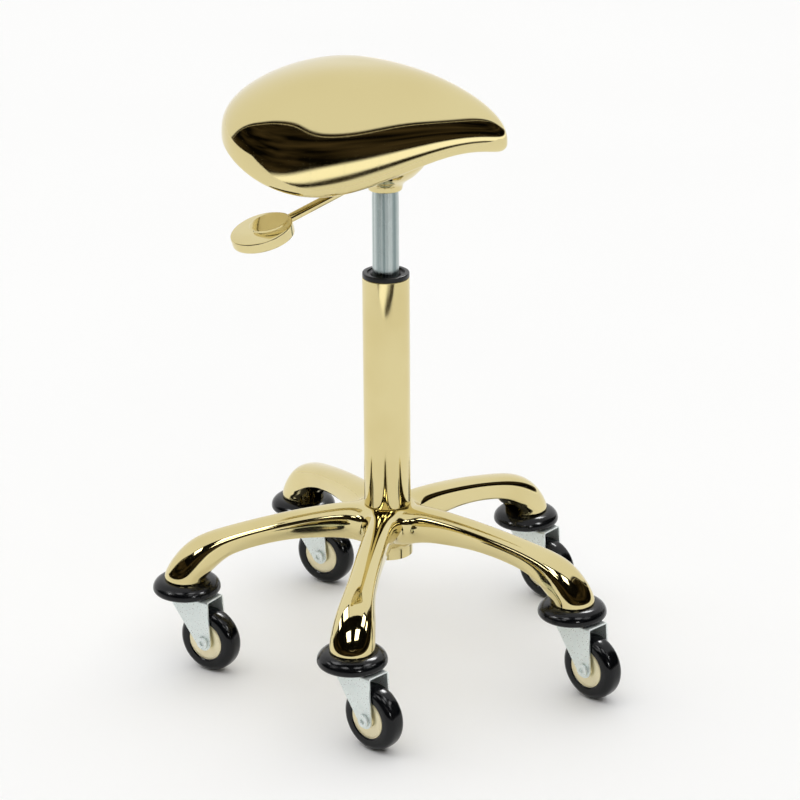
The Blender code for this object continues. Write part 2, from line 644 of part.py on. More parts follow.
def build_fork(number, swivel):
    """Pressed fork: two cheeks, a top plate and a leading web, in one bent sheet."""
    sideways = Matrix(((1, 0, 0, 0), (0, 0, 1, 0), (0, 1, 0, 0), (0, 0, 0, 1)))
    fork = prism("fork_%d" % number, fork_outline(0.0), -CHEEK_OUTER, CHEEK_OUTER,
                 bright_zinc(), sideways)
    slot = prism("fork_slot_cutter_%d" % number, fork_outline(FORK_SHEET), -CHEEK_INNER,
                 CHEEK_INNER, bright_zinc(), sideways)
    axle = Matrix.Translation((TRAIL, 0, WHEEL_R)) @ Matrix.Rotation(pi / 2, 4, 'X')
    relief = CHEEK_INNER + 0.0002
    well = turned("fork_well_cutter_%d" % number,
                  rod_profile(WHEEL_R + FORK_WELL, -relief, relief), bright_zinc(), 16, axle)
    eye = turned("fork_eye_cutter_%d" % number, rod_profile(AXLE_R + TOUCH, -0.03, 0.03),
                 bright_zinc(), 12, axle)
    hole = turned("fork_stem_cutter_%d" % number,
                  rod_profile(STEM_R + RUN, FORK_TOP - FORK_SHEET - 0.002, FORK_TOP + 0.002),
                  bright_zinc(), 12)
    for cutter in (slot, well, eye, hole):
        boolean(fork, place(cutter, parent=swivel), 'DIFFERENCE')
    place(fork, parent=swivel)


def build_axle(number, swivel):
    axle = empty("axle_%d" % number, (TRAIL, 0, WHEEL_R), parent=swivel)
    along = Matrix.Rotation(pi / 2, 4, 'X')
    head = CHEEK_OUTER + TOUCH
    end = -(head + NUT_HEIGHT + 0.0012)
    bolt = turned("axle_bolt_%d" % number, [
        (0, end), (AXLE_R, end), (AXLE_R, head), (BOLT_HEAD_R, head),
        (BOLT_HEAD_R, head + BOLT_HEAD_HEIGHT - 0.0010),
        (BOLT_HEAD_R - 0.0010, head + BOLT_HEAD_HEIGHT), (0, head + BOLT_HEAD_HEIGHT)],
        bright_zinc(), 12, along)
    nut_bore = (AXLE_R + TOUCH) / cos(pi / 6)
    nut = turned("axle_nut_%d" % number, [
        (nut_bore, -head - NUT_HEIGHT), (NUT_R, -head - NUT_HEIGHT), (NUT_R, -head),
        (nut_bore, -head)], bright_zinc(), 6, along)
    hub = CHEEK_INNER - TOUCH
    core = turned("wheel_core_%d" % number, [
        (AXLE_R + RUN, -hub), (WHEEL_HUB_R, -hub), (WHEEL_HUB_R, -DISC_HALF_WIDTH),
        (DISC_R, -DISC_HALF_WIDTH), (DISC_R, DISC_HALF_WIDTH), (WHEEL_HUB_R, DISC_HALF_WIDTH),
        (WHEEL_HUB_R, hub), (AXLE_R + RUN, hub)], gold(), WHEEL_STEPS, along)
    side = TYRE_HALF_WIDTH
    half = [(DISC_R + TOUCH, side - 0.0012), (DISC_R + 0.0040, side),
            (WHEEL_R - 0.0030, side * 0.84)]
    tread = half + [(WHEEL_R, 0.0)] + [(r, -y) for r, y in reversed(half)]
    tyre = turned("tyre_%d" % number, tread, rubber(), WHEEL_STEPS, along)
    for piece in (bolt, nut, core, tyre):
        place(piece, parent=axle)


def build_caster(number, frame):
    heading = LEG_PHASE + 2 * pi * (number - 1) / LEGS
    spot = (CASTER_CIRCLE * cos(heading), CASTER_CIRCLE * sin(heading), 0)
    swivel = empty("swivel_%d" % number, spot, TRAIL_HEADINGS[number - 1], frame)
    under = FORK_TOP - FORK_SHEET - TOUCH
    stem = turned("stem_%d" % number, [
        (0, under - STEM_HEAD_HEIGHT), (STEM_HEAD_R, under - STEM_HEAD_HEIGHT),
        (STEM_HEAD_R, under), (STEM_R, under), (STEM_R, FOOT_BOTTOM + STEM_HEIGHT),
        (0, FOOT_BOTTOM + STEM_HEIGHT)], steel(), 14)
    top = FOOT_BOTTOM - TOUCH
    widest = HOOD_BOTTOM + HOOD_ROLL
    flat = FOOT_R - 0.001
    dome = [(flat + (HOOD_R - flat) * sin(pi * i / 6), widest + (top - widest) * cos(pi * i / 6))
            for i in range(4)]
    roll = [(HOOD_R - HOOD_ROLL * (1 - cos(pi * i / 4)), widest - HOOD_ROLL * sin(pi * i / 4))
            for i in (1, 2)]
    bore = STEM_R + TOUCH
    recess = HOOD_BOTTOM + 0.004
    hood = turned("hood_%d" % number, dome + roll + [
        (HOOD_R - 0.0075, recess), (STEM_HEAD_R, recess), (STEM_HEAD_R, HOOD_BOTTOM),
        (bore, HOOD_BOTTOM), (bore, top)], rubber(), 20)
    for piece in (stem, hood):
        place(piece, parent=swivel)
    build_fork(number, swivel)
    build_axle(number, swivel)


# ================================================================ seat
def seat_reach(angle):
    """Distance from the seat's middle to its widest line, as forward and sideways parts."""
    share = 0.5 + 0.5 * cos(angle)
    blend = 1 / (1 + pow(2.718281828, -8 * cos(angle)))
    length = SEAT_FRONT * blend + SEAT_REAR * (1 - blend)
    side = SEAT_HALF_WIDTH * (1 - NOSE_TAPER * pow(share, NOSE_POWER))
    return length * cos(angle), side * sin(angle)


def seat_rim_height(angle):
    waves = sum(size * cos((i + 1) * angle) for i, size in enumerate(RIM_WAVES))
    return COLLAR_BOTTOM + RIM_RISE + waves


def dome_point(angle, rise, wall):
    """A point on the dome: rise is 90 degrees at the crown and 0 at the widest line."""
    x, y = seat_reach(angle)
    reach = hypot(x, y)
    share = pow(cos(rise), 2 / DOME_POWER) if rise < pi / 2 else 0.0
    lift = pow(sin(rise), 2 / DOME_POWER) if rise > 0 else 0.0
    rim = seat_rim_height(angle)
    crown = COLLAR_BOTTOM + CROWN_RISE - wall
    shrink = (reach - wall) / reach * share
    height = rim + (crown - rim) * lift
    height += CROWN_SLOPE * x * share * lift + CROWN_DIP * (x * share) ** 2 * lift
    return x * shrink, y * shrink, height


def roll_point(angle, turn, wall):
    """A point on the rolled lower edge, from the widest line round to its underside."""
    x, y = seat_reach(angle)
    reach = hypot(x, y)
    radius = RIM_ROLL - wall
    shrink = (reach - RIM_ROLL + radius * cos(turn)) / reach
    return x * shrink, y * shrink, seat_rim_height(angle) - radius * sin(turn)


def build_shell(seat, count=36):
    """Open-bottomed shell: outer dome, rolled edge, inner dome."""
    bm = bmesh.new()
    rows = [(dome_point, rise, 0.0) for rise in (72, 56, 42, 30, 20, 12, 5, 0)]
    rows += [(roll_point, turn, 0.0) for turn in (35, 70, 105)]
    rows += [(roll_point, turn, SEAT_WALL) for turn in (105, 50)]
    rows += [(dome_point, rise, SEAT_WALL) for rise in (0, 8, 17, 28, 43, 62)]
    loops = []
    for make, degrees, wall in rows:
        loops.append([bm.verts.new(make(2 * pi * i / count, radians(degrees), wall))
                      for i in range(count)])
    for loop_a, loop_b in zip(loops, loops[1:]):
        bridge(bm, loop_a, loop_b)
    for loop, wall in ((loops[0], 0.0), (loops[-1], SEAT_WALL)):
        pole = bm.verts.new(dome_point(0.0, pi / 2, wall))
        for i in range(count):
            bm.faces.new((loop[i], loop[(i + 1) % count], pole))
    place(finish(bm, "seat_shell", gold()), parent=seat)


def pan_outline(count=36):
    """Where the shell's inner face stands at the pan's top, less the pan's inset."""
    top = PAN_BOTTOM + PAN_THICKNESS
    outline = []
    for i in range(count):
        angle = 2 * pi * i / count
        x, y = seat_reach(angle)
        reach = hypot(x, y)
        rises = [pi / 2 * j / 60 for j in range(60)]
        free = [dome_point(angle, rise, SEAT_WALL) for rise in rises]
        inside = [hypot(p[0], p[1]) for p in free if p[2] >= top]
        limit = min(inside[0] if inside else reach, reach - SEAT_WALL) - PAN_INSET
        outline.append((x * limit / reach, y * limit / reach))
    return outline


def build_seat(frame):
    heading = SEAT_YAW
    seat = empty("seat_middle", (SEAT_SHIFT * cos(heading), SEAT_SHIFT * sin(heading), 0),
                 heading, frame)
    build_shell(seat)
    pan = prism("seat_pan", pan_outline(), PAN_BOTTOM, PAN_BOTTOM + PAN_THICKNESS,
                black_plastic())
    place(pan, parent=seat)
    for number in range(SEAT_BOLTS):
        spot = seat_bolt_place(number)
        head_top = FLANGE_TOP - FLANGE_HEIGHT - TOUCH
        tip = PAN_BOTTOM + SEAT_BOLT_GRIP
        bolt = turned("seat_bolt_%d" % (number + 1), [
            (0, head_top - SEAT_BOLT_HEAD), (SEAT_BOLT_HEAD_R, head_top - SEAT_BOLT_HEAD),
            (SEAT_BOLT_HEAD_R, head_top), (SEAT_BOLT_R, head_top), (SEAT_BOLT_R, tip),
            (0, tip)], bright_zinc(), 12, spot)
        place(bolt, parent=frame)
        hole = turned("pan_hole_cutter_%d" % (number + 1),
                      rod_profile(SEAT_BOLT_R + TOUCH, PAN_BOTTOM - 0.002, tip + TOUCH),
                      black_plastic(), 12, spot)
        boolean(pan, place(hole, parent=frame), 'DIFFERENCE')


# ================================================================ the stool
def centre_footprint(frame):
    """Move the stool so that the middle of its footprint is on the origin."""
    graph = bpy.context.evaluated_depsgraph_get()
    graph.update()
    spots = []
    for piece in bpy.context.scene.objects:
        if piece.type == 'MESH' and not piece.hide_render:
            ready = piece.evaluated_get(graph)
            spots += [ready.matrix_world @ v.co for v in ready.data.vertices]
    for axis in (0, 1):
        values = [spot[axis] for spot in spots]
        frame.location[axis] = -(min(values) + max(values)) / 2


def main():
    clear_scene()
    frame = empty("stool")
    build_base(frame)
    for number in range(1, LEGS + 1):
        build_caster(number, frame)
    build_column(frame)
    build_bearing(frame)
    build_lift(frame)
    build_housing(frame)
    build_lever(frame)
    build_seat(frame)
    centre_footprint(frame)
    bpy.context.view_layer.update()


main()
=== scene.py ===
"""Looks of the gold saddle stool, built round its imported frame.  Metres, +Z up."""
import json
from math import acos, atan2, cos, exp, hypot, pi, radians, sin
import bmesh
import bpy
from mathutils import Matrix, Vector

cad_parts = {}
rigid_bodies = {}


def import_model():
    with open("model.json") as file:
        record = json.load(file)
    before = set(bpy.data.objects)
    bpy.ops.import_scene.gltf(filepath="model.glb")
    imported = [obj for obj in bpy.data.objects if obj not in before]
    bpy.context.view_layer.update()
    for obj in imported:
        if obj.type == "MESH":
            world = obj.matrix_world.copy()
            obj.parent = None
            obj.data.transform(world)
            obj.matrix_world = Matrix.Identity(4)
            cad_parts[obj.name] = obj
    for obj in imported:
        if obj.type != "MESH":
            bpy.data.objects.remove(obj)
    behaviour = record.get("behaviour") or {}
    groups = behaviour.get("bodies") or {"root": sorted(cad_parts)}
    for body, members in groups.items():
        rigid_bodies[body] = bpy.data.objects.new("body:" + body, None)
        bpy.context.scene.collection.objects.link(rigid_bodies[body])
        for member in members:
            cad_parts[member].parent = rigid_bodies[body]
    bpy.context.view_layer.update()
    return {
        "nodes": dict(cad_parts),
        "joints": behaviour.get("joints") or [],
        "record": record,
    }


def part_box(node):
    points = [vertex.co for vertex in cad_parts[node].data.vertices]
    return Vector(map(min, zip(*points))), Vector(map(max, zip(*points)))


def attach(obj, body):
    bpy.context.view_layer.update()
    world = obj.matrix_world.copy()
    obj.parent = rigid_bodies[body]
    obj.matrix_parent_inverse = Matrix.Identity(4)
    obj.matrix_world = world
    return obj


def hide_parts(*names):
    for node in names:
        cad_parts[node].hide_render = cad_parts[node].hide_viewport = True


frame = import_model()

# ---------------------------------------------------------------- facts read from the frame
JOINTS = {joint["name"]: joint for joint in frame["joints"]}
COLUMN = Vector((*JOINTS["seat_swivel"]["pos_m"][:2], 0.0))
UP = Vector((0, 0, 1))
CASTERS = range(1, 6)
LEGS = len(CASTERS)
GAP = 0.0003              # clearance that the frame keeps between touching pieces

# ---------------------------------------------------------------- casting
LEG_RISE = 0.075          # foot's underside to the crown at the hub
LEG_HALF_WIDTH = 0.0155
LEG_DEPTH = 0.0375
LEG_ROOT = 0.0192         # hub's side to the first full section of a leg
FOOT_BEND = 0.046         # stem axis back to where a leg bends down
FOOT_SOLE = 0.005
FOOT_R = 0.0252
HUB_WALL = 0.0018         # hub's outside beyond the tube's
HUB_SINK = 0.0025         # hub's top below the legs' crown
SPIGOT_STEP = 0.0038      # tube's outside to its spigot's
NECK_DROP = 0.007         # legs' belly down to the hub's plain part
CROTCH_OUT = 0.0097       # hub's side to where two legs part
BOSS_R = 0.0095
STEM_R = 0.0055
FOOT_HOLLOW = 0.024
FOOT_HOLLOW_HALF_WIDTH = 0.0135
CAST_SMOOTHING = 3

# ---------------------------------------------------------------- seat
SEAT_YAW = -0.265
SEAT_SHIFT = -0.0185
SEAT_FRONT = 0.1475
SEAT_REAR = 0.1515
SEAT_HALF_WIDTH = 0.140
NOSE_TAPER = 0.66
NOSE_POWER = 1.1
CROWN_RISE = 0.133
CROWN_SLOPE = -0.044
CROWN_DIP = -0.91
DOME_POWER = 2.5
RIM_RISE = 0.0465
RIM_WAVES = (0.0050, 0.0166, -0.0075, -0.0038)
RIM_ROLL = 0.0075
SEAT_WALL = 0.0040

# ---------------------------------------------------------------- small sizes
FORK_SHEET = 0.0018
FORK_BEND = 0.0032        # outside radius of the fork's pressed corners
FORK_LEAD = 0.0175
FORK_TAIL = 0.0065
FORK_EYE_R = 0.0092
FORK_WELL = 0.002         # room round the tyre
FORK_BOLT_HOLE_R = 0.0043
FORK_STEM_HOLE_R = 0.0058
FORK_EDGE = 0.00035
PAD_R = 0.0200            # raised round pad on the paddle
PAD_STEP = 0.0010
PADDLE_RIM = 0.0016
PADDLE_UNDER_RIM = 0.0022
DISH_DEPTH = 0.0032       # how far the paddle's crescent falls away
THREAD_PITCH = 0.0010
THREAD_DEPTH = 0.0003
THREAD_LEAD = 0.0004      # shank's end to where its thread starts
SOCKET_DEPTH = 0.0020
HOOD_HUB_R = 0.0092
WHEEL_HUB_R = 0.0080
AXLE_HEAD = 0.0028
SEAT_BOLT_HEAD = 0.003
BALLS_IN_RING = 12

# ---------------------------------------------------------------- camera
LENS = 132.3
CAMERA_AIM = Vector((0.0140, 0.0, 0.2890))    # from the column's foot
CAMERA_RANGE = 3.1239
CAMERA_RISE = radians(20.66)
CAMERA_ROLL = -0.006

# ---------------------------------------------------------------- room
# Edges are (heading, height) in degrees, heading 0 is towards the camera, and so are the widths.
DARK_TOP = ((-180, -30), (-125, -8), (-85, 32), (-45, 42), (0, 26), (28, 36), (85, 44), (130, 10),
            (180, -30))
DARK_LOW = ((-180, -12), (-45, -12), (8, -3), (180, -2))
SKIRTING = ((-180, -14), (-35, -15), (22, -10), (180, -10))
DARK_SOFT = 1.2
SEAM_DEPTH = 3.6          # pale seam below the dark side's top edge
SEAM_WIDTH = 0.6
SKIRTING_WIDTH = 3.0
DIFFUSE_LIFT = 0.46       # extra light on plain surfaces
BACKDROP = (0.97, 0.97, 0.965)
FLOOR_FRONT = -1.7
FLOOR_BACK = 9.0
FLOOR_SIDE = 7.0
FLAG_HEIGHT = 0.30
FLAG_OUTLINE = ((-0.50, -0.62), (-0.50, -0.12), (-0.10, -0.12), (-0.10, -0.225), (0.06, -0.225),
                (0.10, -0.18), (0.50, -0.18), (0.50, -0.62))

# ---------------------------------------------------------------- lamps
TOE_HEIGHT = 0.125
TOE_LAMP_APART = 0.075
TOE_LAMP_FORWARD = 0.150
TOE_LAMP_ABOVE = 0.165
TOE_LAMP_SIZE = (0.075, 0.085)
TOE_LAMP_POWER = 0.10
GLOSS_LAMPS = (("left", -64, 34, (0.34, 0.50)), ("right", 58, 38, (0.34, 0.50)),
               ("rear", 150, 52, (0.70, 0.34)), ("low", 20, 14, (0.20, 0.20)))
GLOSS_RANGE = 2.0
GLOSS_POWER = 26.0 * pi   # watts for each square metre of a lamp

# ---------------------------------------------------------------- plating
GOLD = (0.74, 0.64, 0.335)
GOLD_DEEP = (0.62, 0.50, 0.21)


# ================================================================ shader helpers
def node(tree, kind, **settings):
    """A shader node with its settings and unlinked input values; keys in_Name set an input."""
    made = tree.nodes.new(kind)
    for key, value in settings.items():
        if key.startswith("in_"):
            made.inputs[key[3:].replace("_", " ")].default_value = value
        else:
            setattr(made, key, value)
    return made


def group(name, inputs, outputs):
    """An empty shader group with float inputs (name, default), a vector input and named outputs."""
    tree = bpy.data.node_groups.new(name, "ShaderNodeTree")
    tree.interface.new_socket("Vector", in_out="INPUT", socket_type="NodeSocketVector")
    for label, value in inputs:
        socket = tree.interface.new_socket(label, in_out="INPUT", socket_type="NodeSocketFloat")
        socket.default_value = value
    for label in outputs:
        tree.interface.new_socket(label, in_out="OUTPUT", socket_type="NodeSocketFloat")
    return tree, tree.nodes.new("NodeGroupInput"), tree.nodes.new("NodeGroupOutput")


def math_node(tree, operation, first, second=None):
    made = tree.nodes.new("ShaderNodeMath")
    made.operation = operation
    for slot, value in zip(made.inputs, (first, second)):
        if isinstance(value, (int, float)):
            slot.default_value = value
        elif value is not None:
            tree.links.new(value, slot)
    return made.outputs[0]


def noise(tree, vector, scale, detail=3.0, rough=0.55):
    made = node(tree, "ShaderNodeTexNoise", in_Detail=detail, in_Roughness=rough)
    tree.links.new(vector, made.inputs["Vector"])
    if isinstance(scale, (int, float)):
        made.inputs["Scale"].default_value = scale
    else:
        tree.links.new(scale, made.inputs["Scale"])
    return made.outputs["Fac"]


def remap(tree, value, low, high, to_low=0.0, to_high=1.0):
    made = tree.nodes.new("ShaderNodeMapRange")
    tree.links.new(value, made.inputs["Value"])
    limits = {"From Min": low, "From Max": high, "To Min": to_low, "To Max": to_high}
    for label, number in limits.items():
        made.inputs[label].default_value = number
    return made.outputs["Result"]


def tinted(tree, mask, first, second):
    """Mixes two colours, each plain or from a socket, by a mask."""
    made = node(tree, "ShaderNodeMix", data_type="RGBA")
    tree.links.new(mask, made.inputs["Factor"])
    for socket, colour in zip([s for s in made.inputs if s.type == "RGBA"], (first, second)):
        if isinstance(colour, tuple):
            socket.default_value = (*colour, 1.0)
        else:
            tree.links.new(colour, socket)
    return [socket for socket in made.outputs if socket.type == "RGBA"][0]


def handling_group():
    """Finger smudges, hairline scratches and fine dust, as masks from 0 to 1."""
    tree, source, sink = group("handling", [("Smudge Scale", 26.0), ("Scratch Scale", 190.0)],
                               ["Smudges", "Scratches", "Dust"])
    vector = source.outputs["Vector"]
    smudges = remap(tree, noise(tree, vector, source.outputs["Smudge Scale"], 4.0), 0.46, 0.72)
    stretch = node(tree, "ShaderNodeMapping")
    stretch.inputs["Rotation"].default_value = (0.4, 0.9, 0.6)
    stretch.inputs["Scale"].default_value = (1.0, 0.05, 0.05)
    tree.links.new(vector, stretch.inputs["Vector"])
    lines = noise(tree, stretch.outputs["Vector"], source.outputs["Scratch Scale"], 5.0, 0.7)
    scratches = remap(tree, lines, 0.60, 0.66)
    dust = remap(tree, noise(tree, vector, 1400.0, 1.0), 0.68, 0.74)
    for label, value in (("Smudges", smudges), ("Scratches", scratches), ("Dust", dust)):
        tree.links.new(value, sink.inputs[label])
    return tree


def ripple_group():
    """Slow unevenness of a polished or moulded skin, as a height from 0 to 1."""
    tree, source, sink = group("skin_ripple", [("Wave Scale", 14.0), ("Pore Scale", 420.0)],
                               ["Wave", "Pore"])
    vector = source.outputs["Vector"]
    tree.links.new(noise(tree, vector, source.outputs["Wave Scale"], 1.5, 0.4), sink.inputs["Wave"])
    tree.links.new(noise(tree, vector, source.outputs["Pore Scale"], 3.0, 0.6), sink.inputs["Pore"])
    return tree


HANDLING = handling_group()
RIPPLE = ripple_group()


class Finish:
    """A material under way: its tree, its Principled shader and the shared groups."""

    def __init__(self, name, colour, roughness, metallic=0.0, **shader_values):
        self.material = bpy.data.materials.new(name)
        self.material.use_nodes = True
        self.tree = self.material.node_tree
        self.shader = self.tree.nodes["Principled BSDF"]
        self.shader.inputs["Base Color"].default_value = (*colour, 1.0)
        self.shader.inputs["Roughness"].default_value = roughness
        self.shader.inputs["Metallic"].default_value = metallic
        for label, value in shader_values.items():
            self.shader.inputs[label.replace("_", " ")].default_value = value
        self.material.diffuse_color = (*colour, 1.0)
        self.place = node(self.tree, "ShaderNodeTexCoord").outputs["Object"]

    def use(self, shared, vector=None, **values):
        made = self.tree.nodes.new("ShaderNodeGroup")
        made.node_tree = shared
        self.tree.links.new(vector or self.place, made.inputs["Vector"])
        for label, value in values.items():
            made.inputs[label.replace("_", " ")].default_value = value
        return made.outputs

    def mix_colour(self, mask, first, second):
        """Base Color runs from the first colour to the second with the mask."""
        self.tree.links.new(tinted(self.tree, mask, first, second), self.shader.inputs["Base Color"])

    def vary_roughness(self, *shares):
        """Roughness is a base plus each mask times its amount."""
        base, *pairs = shares
        total = None
        for mask, amount in pairs:
            part = math_node(self.tree, "MULTIPLY", mask, amount)
            total = math_node(self.tree, "ADD", part, base if total is None else total)
        self.tree.links.new(total, self.shader.inputs["Roughness"])

    def bump(self, height, distance, strength=1.0, after=None):
        made = node(self.tree, "ShaderNodeBump", in_Distance=distance, in_Strength=strength)
        self.tree.links.new(height, made.inputs["Height"])
        if after:
            self.tree.links.new(after, made.inputs["Normal"])
        self.tree.links.new(made.outputs["Normal"], self.shader.inputs["Normal"])
        return made.outputs["Normal"]

    def attribute(self, name):
        return node(self.tree, "ShaderNodeAttribute", attribute_name=name).outputs["Fac"]

    def mapped(self, label, value):
        """Object coordinates through one setting of a Mapping node."""
        made = node(self.tree, "ShaderNodeMapping")
        made.inputs[label].default_value = value
        self.tree.links.new(self.place, made.inputs["Vector"])
        return made.outputs["Vector"]

    def centred(self, origin):
        return self.mapped("Location", [-value for value in origin])

    def stretched(self, scale):
        return self.mapped("Scale", scale)


# ================================================================ finishes
def mirror_gold(name, wave, wave_height, polish):
    """Polished and gold plated: a slow ripple, faint smudges and hairlines."""
    made = Finish(name, GOLD, polish, 1.0)
    marks = made.use(HANDLING, Smudge_Scale=18.0, Scratch_Scale=150.0)
    skin = made.use(RIPPLE, Wave_Scale=wave, Pore_Scale=900.0)
    tint = remap(made.tree, skin["Wave"], 0.35, 0.65)
    made.mix_colour(math_node(made.tree, "MULTIPLY", tint, 0.30), GOLD, GOLD_DEEP)
    made.vary_roughness(polish, (marks["Smudges"], 0.035), (marks["Scratches"], 0.05),
                        (marks["Dust"], 0.10))
    slow = made.bump(skin["Wave"], wave_height)
    made.bump(skin["Pore"], 0.000012, 0.5, slow)
    return made.material


def turned_gold():
    """Machined disc: fine rings round its axle under the plating."""
    made = Finish("turned_gold_disc", GOLD, 0.20, 0.75)
    marks = made.use(HANDLING, Smudge_Scale=60.0, Scratch_Scale=260.0)
    rings = node(made.tree, "ShaderNodeTexNoise", noise_dimensions="1D", in_Scale=5200.0, in_Detail=2.0)
    made.tree.links.new(made.attribute("ring"), rings.inputs["W"])
    tint = math_node(made.tree, "MULTIPLY", marks["Smudges"], 0.35)
    made.mix_colour(tint, (0.90, 0.82, 0.56), (0.80, 0.69, 0.40))
    made.vary_roughness(0.24, (rings.outputs["Fac"], 0.14), (marks["Scratches"], 0.10))
    made.bump(rings.outputs["Fac"], 0.00002, 0.6)
    return made.material


def streaked_zinc():
    """Drawn tube: streaks that run its whole length, and a cloudy passivated film."""
    made = Finish("streaked_zinc", (0.50, 0.56, 0.56), 0.26, 1.0)
    round_tube = made.centred(COLUMN)
    angle = node(made.tree, "ShaderNodeTexGradient", gradient_type="RADIAL")
    made.tree.links.new(round_tube, angle.inputs["Vector"])
    broad = node(made.tree, "ShaderNodeTexNoise", noise_dimensions="1D", in_Scale=15.0, in_Detail=1.0)
    fine = node(made.tree, "ShaderNodeTexNoise", noise_dimensions="1D", in_Scale=120.0, in_Detail=2.0)
    for texture in (broad, fine):
        made.tree.links.new(angle.outputs["Fac"], texture.inputs["W"])
    marks = made.use(HANDLING, Smudge_Scale=40.0, Scratch_Scale=200.0)
    streak = remap(made.tree, broad.outputs["Fac"], 0.36, 0.64)
    made.mix_colour(streak, (0.24, 0.30, 0.30), (0.56, 0.62, 0.61))
    made.vary_roughness(0.18, (fine.outputs["Fac"], 0.16), (marks["Smudges"], 0.08))
    made.bump(fine.outputs["Fac"], 0.00002, 0.4)
    return made.material


def bright_zinc():
    """Pressed sheet with a fine zinc spangle and a blue-green passivated film."""
    made = Finish("bright_zinc", (0.84, 0.90, 0.88), 0.34, 0.55)
    cells = node(made.tree, "ShaderNodeTexVoronoi", in_Scale=420.0)
    made.tree.links.new(made.place, cells.inputs["Vector"])
    marks = made.use(HANDLING, Smudge_Scale=70.0, Scratch_Scale=320.0)
    grain = remap(made.tree, cells.outputs["Distance"], 0.0, 0.9)
    made.mix_colour(grain, (0.90, 0.95, 0.93), (0.80, 0.88, 0.86))
    made.vary_roughness(0.24, (grain, 0.14), (marks["Scratches"], 0.12))
    made.bump(grain, 0.00003, 0.5)
    return made.material


def machined_steel():
    made = Finish("machined_steel", (0.50, 0.51, 0.53), 0.24, 1.0)
    marks = made.use(HANDLING, Smudge_Scale=90.0, Scratch_Scale=500.0)
    made.mix_colour(marks["Smudges"], (0.54, 0.55, 0.57), (0.38, 0.38, 0.39))
    made.vary_roughness(0.18, (marks["Scratches"], 0.20), (marks["Smudges"], 0.10))
    made.bump(marks["Scratches"], 0.00002, 0.5)
    return made.material


def moulded_black(name, polish, pore, dust):
    """Moulded black plastic or polyurethane: a slight orange peel, dust and rub marks."""
    made = Finish(name, (0.010, 0.011, 0.014), polish, 0.0, IOR=1.5, Specular_IOR_Level=0.26,
                  Coat_Weight=0.10, Coat_Roughness=0.04)
    marks = made.use(HANDLING, Smudge_Scale=55.0, Scratch_Scale=240.0)
    skin = made.use(RIPPLE, Wave_Scale=60.0, Pore_Scale=1100.0)
    grime = math_node(made.tree, "MULTIPLY", marks["Smudges"], dust)
    made.mix_colour(grime, (0.002, 0.0025, 0.0035), (0.014, 0.016, 0.018))
    made.vary_roughness(polish, (marks["Smudges"], 0.12), (marks["Scratches"], 0.10))
    slow = made.bump(skin["Wave"], 0.0002, 0.5)
    made.bump(skin["Pore"], pore, 0.6, slow)
    return made.material


def pressed_board():
    """Board with a champagne gold lacquer."""
    made = Finish("lacquered_board", (0.66, 0.59, 0.38), 0.45, 0.3)
    along = made.stretched((1.0, 0.25, 1.0))
    fibre = made.use(RIPPLE, along, Wave_Scale=150.0, Pore_Scale=700.0)
    made.mix_colour(fibre["Wave"], (0.80, 0.72, 0.47), (0.72, 0.64, 0.41))
    made.vary_roughness(0.34, (fibre["Pore"], 0.25))
    made.bump(fibre["Pore"], 0.0001, 0.6)
    return made.material


def dull_rubber():
    made = Finish("dull_rubber", (0.020, 0.020, 0.021), 0.7)
    skin = made.use(RIPPLE, Wave_Scale=90.0, Pore_Scale=800.0)
    made.mix_colour(skin["Wave"], (0.014, 0.014, 0.015), (0.040, 0.039, 0.038))
    made.vary_roughness(0.58, (skin["Pore"], 0.25))
    made.bump(skin["Pore"], 0.00008, 0.6)
    return made.material


CAST_GOLD = mirror_gold("cast_gold_mirror", 16.0, 0.0009, 0.045)
SHELL_GOLD = mirror_gold("shell_gold_mirror", 7.0, 0.0011, 0.035)
STEEL_GOLD = mirror_gold("steel_gold_mirror", 22.0, 0.0001, 0.060)
DISC_GOLD = turned_gold()
ZINC_TUBE = streaked_zinc()
ZINC_SHEET = bright_zinc()
STEEL = machined_steel()
HOOD_BLACK = moulded_black("hood_gloss_black", 0.16, 0.00003, 0.25)
TYRE_BLACK = moulded_black("tyre_polyurethane_black", 0.13, 0.00002, 0.18)
BUSH_BLACK = moulded_black("bushing_black", 0.30, 0.00006, 0.45)
BOARD = pressed_board()
RUBBER = dull_rubber()


# ================================================================ mesh helpers
SHARP = radians(32)       # edges sharper than this are not smoothed over


def link(name, mesh, look, sharp=SHARP):
    """A finished mesh as an object at the origin, smooth between its sharp edges."""
    mesh.shade_smooth()
    mesh.set_sharp_from_angle(angle=sharp)
    mesh.materials.clear()
    mesh.materials.append(look)
    made = bpy.data.objects.new(name, mesh)
    bpy.context.scene.collection.objects.link(made)
    return made


def finish(bm, name, look, matrix=None, sharp=SHARP):
    bmesh.ops.remove_doubles(bm, verts=bm.verts, dist=1e-6)
    if matrix:
        bmesh.ops.transform(bm, matrix=matrix, verts=bm.verts)
    bmesh.ops.recalc_face_normals(bm, faces=bm.faces)
    mesh = bpy.data.meshes.new(name)
    bm.to_mesh(mesh)
    bm.free()
    return link(name, mesh, look, sharp)


def applied(piece, sharp=SHARP):
    """The piece with its modifiers turned into a plain mesh, and their cutters removed."""
    name = piece.name
    look = piece.data.materials[0]
    cutters = [step.object for step in piece.modifiers if step.type == 'BOOLEAN']
    graph = bpy.context.evaluated_depsgraph_get()
    graph.update()
    mesh = bpy.data.meshes.new_from_object(piece.evaluated_get(graph))
    mesh.transform(piece.matrix_world)
    for old in [piece] + cutters:
        bpy.data.objects.remove(old, do_unlink=True)
    mesh.name = name
    return link(name, mesh, look, sharp)


